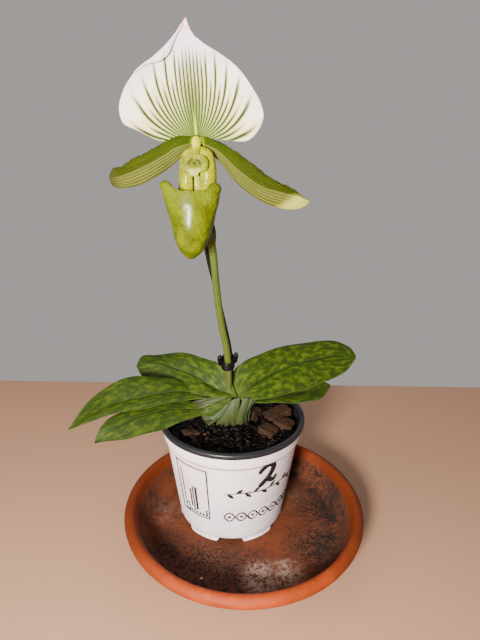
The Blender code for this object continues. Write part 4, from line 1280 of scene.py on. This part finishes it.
def make_sepals():
    """The large veined sepal with its folded margin, and the lower one behind the slipper."""
    middle = [(-24.8, -20, 241.4), (-25, -22.6, 252), (-25.4, -24, 262), (-26.6, -25, 274),
              (-28.1, -25.5, 285.5)]
    left = [(-27.2, -20, 240.6), (-39.6, -22.2, 238.5), (-50.7, -24.6, 242.9),
            (-55.8, -26.2, 245.6), (-57.1, -27, 251.6), (-55.7, -27.3, 256.3),
            (-49.4, -27.2, 265.2), (-40.3, -26.8, 272), (-32.1, -26.2, 279.7),
            (-28.1, -25.5, 285.5)]
    right = [(-22.4, -20, 240.6), (-9.7, -22.2, 239.1), (-1.4, -24.6, 239.5), (3.3, -26.2, 244.8),
             (4.6, -27, 249.6), (3.9, -27.3, 252.4), (-1, -27.2, 260.9), (-6.6, -26.9, 267.4),
             (-14.9, -26.6, 273.1), (-21.5, -26.2, 276.8), (-26, -25.8, 280.6),
             (-28.1, -25.5, 285.5)]
    grid, maps = rail_loft(middle, left, right, 110, 91, (0, 0.9, 0))
    across, share = np.moveaxis(maps, 2, 0)
    ripple = 0.35 * np.sin(share * 21 + 2 * across) * np.abs(across) ** 6
    swell = 0.5 * soft_noise(grid * MM, 60, 2)
    groove = 0.35 * np.exp(-(across / 0.05) ** 2) * ease(share, 0, 0.3)
    grid[..., 1] += ripple + swell * np.sin(pi * share) + groove
    body = Body()
    body.sheet(grid * MM, PETAL_THICKNESS, maps, 0, 1, 0.6)
    # The upper left margin rolls forward and lies back over the face as a narrow flap.
    count = 68
    outer = through(left, 200)[127:127 + count]
    fold = [(-49.3, 0, 265), (-44.7, 0, 268), (-38.5, 0, 269.6), (-35.7, 0, 271.6),
            (-32.9, 0, 276.6), (-31.4, 0, 279.4), (-29.6, 0, 282)]
    across = np.linspace(0, 1, 15)
    away = across[:, None]
    grid = outer[:, None] * (1 - away) + through(fold, count)[:, None] * away
    roll = 0.85 * np.sin(pi * across**0.7) + 0.25 * across
    wide = np.sin(pi * np.linspace(0.02, 0.98, count)) ** 0.5
    grid[..., 1] = outer[:, 1:2] - 0.45 - roll * wide[:, None]
    maps = joined(0.9 - 0.3 * across, np.linspace(0.64, 0.97, count)[:, None])
    body.sheet(grid * MM, PETAL_THICKNESS * 0.8, maps, 1, 1, 0.3)
    finishes = [sepal_white("sepal_veined", 1), sepal_white("sepal_back", 0.45)]
    body.make("dorsal_sepal_blade", finishes, "white_sepal", "dorsal_sepal")

    grid, maps, face = blade(
        [(-24.8, -19.4, 235.4), (-24.8, -18.2, 229), (-25.4, -19.6, 218), (-26.2, -21, 206),
         (-27, -22, 196)],
        -1, [(0, 2.4), (0.25, 7), (0.55, 8.4), (0.85, 5), (1, 0.5)],
        [(0, -0.1), (0.4, -0.2), (1, -0.1)], rows=80, columns=41)
    ribs = 0.12 * np.cos(maps[..., 0] * 7 * pi) * np.sin(pi * maps[..., 1])
    grid = grid + face[:, None] * (ribs * MM)[..., None]
    body = Body()
    body.sheet(grid, PETAL_THICKNESS, maps)
    body.make("lower_sepal_blade", [lower_green()], "petal", "lower_sepal")


def petal_rail(points, forward):
    """Places on a petal from its outline in the front view, at the depth the petal has there."""
    away = [abs(x - HUB[0]) for x, z in points]
    depth = np.interp(away, (0, 4, 8, 20, 31, 53), (-20.4, -22, -22.8, -23.8, -23.4, -21.6))
    return [(x, y - forward, z) for (x, z), y in zip(points, depth)]


def make_petals():
    """Each petal is creased along its length, with its margins bent back from the crease."""
    petals = [
        ("petal_left",
         [(-25.2, 238.2), (-28, 237.6), (-33.5, 236), (-38, 233.2), (-43, 230.4), (-49, 227.4),
          (-54.5, 225), (-59.5, 223.4), (-64.3, 221.6)],
         [(-25.2, 236.4), (-27.5, 235.4), (-31.5, 231.8), (-37.5, 227), (-44.5, 222.6),
          (-50.5, 219.6), (-56, 218.4), (-60.5, 217.9), (-63.6, 219.2)],
         [(-24.6, 240), (-28, 240.7), (-34, 240.3), (-39, 238), (-47.5, 233.4), (-55, 230),
          (-59.5, 227.2), (-62.2, 227), (-64.5, 224)],
         (112, 104, 60), 0.87, 0.02),
        ("petal_right",
         [(-24.4, 238.2), (-21, 237.4), (-15.5, 235.2), (-12, 232.4), (-7.5, 228.2), (-2, 224),
          (3, 220.8), (9, 218.6), (14.5, 217.2), (20.5, 215.4), (27.3, 213.2)],
         [(-24.4, 236.4), (-21, 235.6), (-16.5, 232), (-12.5, 227.8), (-8, 222.6), (-2, 217.4),
          (4, 213.6), (11, 210.7), (19, 209.5), (24, 210.4), (27.4, 212.7)],
         [(-25, 240), (-21.5, 240.6), (-17.5, 239.6), (-12, 237.3), (-4.5, 232.8), (2.5, 228),
          (8, 224), (13, 221.4), (17.5, 219.6), (22, 217), (25, 214.6), (27.4, 213.6)],
         (208, 206, 150), 0.8, 0.1),
    ]
    hair = hair_skin()
    chance = random.Random(31)
    for name, fold, low, high, *tip in petals:
        rails = petal_rail(fold, 1), petal_rail(low, -0.5), petal_rail(high, -0.6)
        edge = 48
        grid, maps = rail_loft(*rails, 120, edge + 1, (0, -0.45, 0))
        across, share = np.moveaxis(maps, 2, 0)
        over, under = across.clip(0), (-across).clip(0)
        ribs = 0.06 * np.cos(across * 33) * (across < 0)
        notches = 0.28 * np.sin(share * 61) * np.sin(share * 23) * over**6
        grid[..., 1] += ribs + 0.4 * np.sin(share * 34 + across) * over**5
        grid[..., 1] += 0.3 * np.sin(share * 17 + 1) * under**4
        grid[..., 2] += notches * ease(share, 0.2, 0.4)
        grid *= MM
        body = Body()
        body.sheet(grid, PETAL_THICKNESS, maps, 0, 0, 0.5)
        for _ in range(PETAL_HAIRS):
            row = chance.randrange(18, 112)
            root = grid[row, edge]
            heading = unit(root - grid[row, edge - 2])
            heading = heading + [chance.uniform(-0.4, 0.4) for _ in range(3)]
            add_hair(body, root, heading, chance.uniform(0.0005, 0.0012), 1, 0.00007)
        for _ in range(PETAL_WARTS):
            row = chance.randrange(25, 112)
            size = chance.uniform(0.0002, 0.0004)
            spot = grid[row, edge - chance.randrange(0, 6)] + (0, -0.0004, 0)
            add_pebble(body, spot, [size] * 3, chance, 1)
        body.make(name + "_blade", [petal_skin(name + "_skin", *tip), hair], "petal", name)


def ear_swell(angle):
    """How far a place around the slipper's mouth belongs to its right or left ear."""
    right = np.maximum(np.cos(angle + 0.22), 0) ** 5
    left = np.maximum(np.cos(angle - 0.26 - pi), 0) ** 4
    return right, left


def pouch_place(depth, angle):
    """A place on the slipper, from its mouth at depth 0 down to its toe at depth 1."""
    right, left = ear_swell(angle)
    mouth = 217 + 2.7 * right + 4 * left + 1.2 * (-np.sin(angle)).clip(0) ** 3
    toe = 188
    fall = 1 - (1 - depth) ** 1.6
    stations = [
        (0, -26.8, -30.6, 12.6, 9), (0.17, -26.6, -31.4, 11.9, 9.4),
        (0.36, -26.5, -31.8, 10.6, 9.8), (0.52, -26.2, -32, 9.5, 9.9),
        (0.66, -26.4, -32.2, 8.4, 9.1), (0.77, -26.6, -32.3, 7.1, 7.8),
        (0.92, -26.9, -32.3, 4.4, 4.8), (1, -27, -32.3, 1.5, 1.5)]
    x, y, wide, deep = track(stations, fall)[0]
    wide *= 1 + 0.07 * (right + left) * (1 - depth) ** 6
    return joined(x + wide * np.cos(angle), y + deep * np.sin(angle), mouth + (toe - mouth) * fall)


def add_ring(body, line, radii, sides, maps_up):
    """A closed rolled edge along a closed line, as thick at each place as its radius there."""
    count = len(line)
    ahead = unit(np.roll(line, -1, axis=0) - np.roll(line, 1, axis=0))
    inward = unit(line.mean(axis=0) - line)
    inward = unit(inward - ahead * np.sum(inward * ahead, axis=1, keepdims=True))
    upward = np.cross(ahead, inward)
    edges = circle(sides)[:, None]
    reach = np.cos(edges) * inward[:, None] + np.sin(edges) * upward[:, None]
    grid = line[:, None] + radii[:, None, None] * reach
    faces = weave(count, sides, wrap=True, ring=True)
    body.add(grid * MM, faces, np.full((count, sides, 2), maps_up))


def make_lip():
    """The slipper: its pouch, the claw that joins it to the hub, and the infolded lobes."""
    turns = circle(120)
    depths = np.linspace(0, 1, 64) ** 1.15
    outer = np.array([pouch_place(depth, turns) for depth in depths])
    middle = outer.mean(axis=1, keepdims=True)
    dimple = soft_noise(outer, 0.16, 4) * 0.22 + soft_noise(outer, 0.5, 9) * 0.06
    outward = unit((outer - middle) * (1, 1, 0.3))
    outer += outward * dimple[..., None]
    thick = LIP_THICKNESS / MM
    inner = outer - outward * thick
    inner[-1] = inner[-2] * 0.3 + inner[-1] * 0.7
    inner[..., 2] += thick * 0.8 * (depths[:, None] > 0.9)
    crest = (outer[0] + inner[0]) / 2 + (0, 0, 0.35)
    rings = np.concatenate([outer[::-1], crest[None], inner])
    up = np.concatenate([depths[::-1], [0], depths])[:, None]
    body = Body()
    body.skein(rings * MM, joined(turns / pi - 1, up))
    # The mouth's edge is rolled in: thin at the front, and thick in the two ears.
    right, left = ear_swell(turns)
    roll = 0.42 + 2.4 * right + 1.85 * left
    edge = outer[0] - outward[0] * (roll - 0.2)[:, None]
    edge[:, 2] += 0.1 - 0.8 * (right + left)
    add_ring(body, edge, roll, 20, 0.08)

    # The claw: a trough open at the front, where its two lobes curl in beside a slit.
    rows, columns = 60, 110
    section = through([(-0.27, -0.25, 0), (-0.28, -0.6, 0), (-0.36, -0.9, 0), (-0.58, -1, 0),
                       (-0.85, -0.74, 0), (-1, -0.15, 0), (-0.9, 0.5, 0), (-0.5, 0.9, 0), (0, 1, 0),
                       (0.5, 0.9, 0), (0.9, 0.5, 0), (1, -0.15, 0), (0.87, -0.74, 0), (0.6, -1, 0),
                       (0.34, -0.9, 0), (0.17, -0.6, 0), (0.14, -0.25, 0)], columns)
    heights = 212 + 24.2 * np.sin(np.linspace(0, pi / 2, rows)) ** 1.1
    shape = track([(212, -24.4, 6.8, 3.6, -27.3), (217, -23.9, 7.7, 4.4, -27.5),
                   (223, -23.9, 7.9, 4.5, -27.5), (228, -23.8, 7.7, 4.2, -27.2),
                   (232, -23.8, 6.9, 3.5, -26.6), (234.6, -23.8, 5.4, 2.6, -25.8),
                   (236.2, -23.8, 2.6, 1.3, -25)], heights)
    x, wide, deep, y = shape.T[..., None]
    grid = joined(x + wide * section[:, 0], y + deep * section[:, 1], heights[:, None])
    grid += soft_noise(grid, 0.35, 3)[..., None] * (0.15, 0.25, 0)
    maps = joined(np.linspace(-1, 1, columns), np.linspace(0.8, 0.3, rows)[:, None])
    body.sheet(grid * MM, LIP_THICKNESS, maps, 1, 1, 0.3)
    # A pale strip lies inside the slit.
    z = np.linspace(213, 225.5, 26)[:, None]
    side = np.linspace(-1, 1, 11)
    depth = -29.6 + 0.25 * side**2 - 0.1 * np.cos(side * 3 * pi)
    strip = joined(-24.1 + 1.15 * side, depth, z)
    body.sheet(strip * MM, 0.0006, joined(side, (z - 213) / 12.5), 2, 2, 0.3)
    finishes = [
        lip_skin("slipper_gloss", (158, 166, 30), (118, 126, 10), (166, 174, 50), 0.42, 0.26),
        lip_skin("claw_gloss", (204, 203, 4), (176, 180, 2), (200, 200, 24), 0.3, 0.12),
        pale_flesh("slit_pale", (206, 204, 118), (188, 188, 92), 0.5),
    ]
    body.make("slipper_pouch", finishes, "lip", "lip")


def make_column():
    """The column, and the pale shield with its raised edge, tongue and green marks."""
    radii = np.interp(np.linspace(0, 1, 50), (0, 0.15, 0.4, 0.67, 1),
                      (0.0014, 0.0023, 0.002, 0.0018, 0.0017))
    body = Body()
    body.tube([HUB, (-24.7, -22.4, 238.4), (-24.6, -25.4, 237), (-24.5, -28, 234.9),
               (-24.6, -29.8, 232)], 50, radii, 36, ribs=3, rib=0.05)
    body.make("column_neck", [column_skin()], "lip", "column")

    turns = circle(144)
    reach = np.linspace(0.02, 1, 34)[:, None]
    corners = [(0, 6.3), (30, 6.1), (60, 4.8), (90, 4.1), (120, 4.8), (150, 6.2), (180, 6.5),
               (205, 5.9), (225, 4.5), (240, 4.2), (248, 5), (258, 5.1), (270, 5), (282, 5.1),
               (292, 5), (300, 4.2), (315, 4.5), (335, 5.9), (360, 6.3)]
    edge_line = track(corners, np.degrees(turns))[:, 0]
    x = edge_line * np.cos(turns) * reach
    y = edge_line * np.sin(turns) * reach
    # The front has a raised edge, a hollow with a knob in it, and a tongue below.
    front = 0.75 + 0.4 * np.exp(-((reach - 0.84) / 0.14) ** 2) * (1 - ease(-y, 1.5, 3.5))
    bumps = [(-0.45, 2.4, 1.6, 0.6), (0.45, 0.7, 1.1, 0.2), (0.75, 2.4, 1.6, -4)]
    for height, wide, deep, middle in bumps:
        front += height * np.exp(-(x / wide) ** 2 - ((y - middle) / deep) ** 2)
    edge = np.sqrt(1 - reach**6)
    front, rear = (joined(x, y, z) for z in (front * edge + 0.08, -0.45 * edge - 0.08))
    grid = np.concatenate([front, rear[::-1]])
    lean = np.array(Matrix.Rotation(radians(82), 3, "X"))
    body = Body()
    body.skein((grid @ lean.T + (-24.9, -32.3, 229.2)) * MM, grid[..., :2] / (6.3, 5.7))
    body.make("staminode_shield", [shield_skin()], "lip", "staminode")


def make_floor():
    """A pale board under the saucer, which ends behind the plant."""
    corners = [(-0.7, -0.5), (0.7, -0.5), (0.7, BOARD_BACK), (-0.7, BOARD_BACK)]
    points = [(x, y, z) for z in (0, -0.02) for x, y in corners]
    faces = [(0, 1, 2, 3), (7, 6, 5, 4), (0, 4, 5, 1), (1, 5, 6, 2), (2, 6, 7, 3), (3, 7, 4, 0)]
    mesh = bpy.data.meshes.new("floor_board")
    mesh.from_pydata(points, [], faces)
    paint = dull_skin("pale_floor", 0.6, (3, 2), (190, 166, 143), (198, 175, 153), 60, 0.0004, 0.2)
    mesh.materials.append(paint)
    placed("floor_board", mesh)


def make_light(name, place, target, size, power, colour=(1, 1, 1)):
    lamp = bpy.data.lights.new(name, "AREA")
    lamp.shape = "DISK"
    lamp.size = size
    lamp.energy = power
    lamp.color = colour
    held = placed(name, lamp)
    held.location = place
    aim = Vector(target) - Vector(place)
    held.rotation_euler = aim.to_track_quat("-Z", "Y").to_euler()


def make_studio():
    world = bpy.data.worlds.new("studio")
    world.use_nodes = True
    background = world.node_tree.nodes["Background"]
    background.inputs["Color"].default_value = (0.57, 0.54, 0.52, 1)
    background.inputs["Strength"].default_value = 0.7
    bpy.context.scene.world = world
    middle = (-0.01, 0, 0.14)
    make_light("front_light", (-0.12, -0.42, 0.24), middle, 0.1, 9, (1, 0.985, 0.955))
    make_light("left_light", (-0.75, -0.45, 0.6), middle, 0.6, 2.5)
    make_light("right_light", (0.8, -0.3, 0.45), middle, 0.6, 1.2)
    make_light("back_light", (0.15, 0.8, 0.8), middle, 0.6, 0.8)


def make_camera():
    lens = bpy.data.cameras.new("camera")
    lens.lens = CAMERA_LENS
    lens.clip_start = 0.01
    camera = placed("camera", lens)
    pitch = Matrix.Rotation(radians(90 - CAMERA_PITCH), 4, "X")
    roll = Matrix.Rotation(radians(CAMERA_ROLL), 4, "Z")
    camera.matrix_world = Matrix.Translation(CAMERA_PLACE) @ pitch @ roll
    bpy.context.scene.camera = camera


for make in (make_camera, make_studio, make_floor, make_saucer, make_pot, make_print, make_mix,
             make_crown, make_leaves, make_stem, make_stake_and_clip, make_sepals, make_petals,
             make_lip, make_column):
    make()
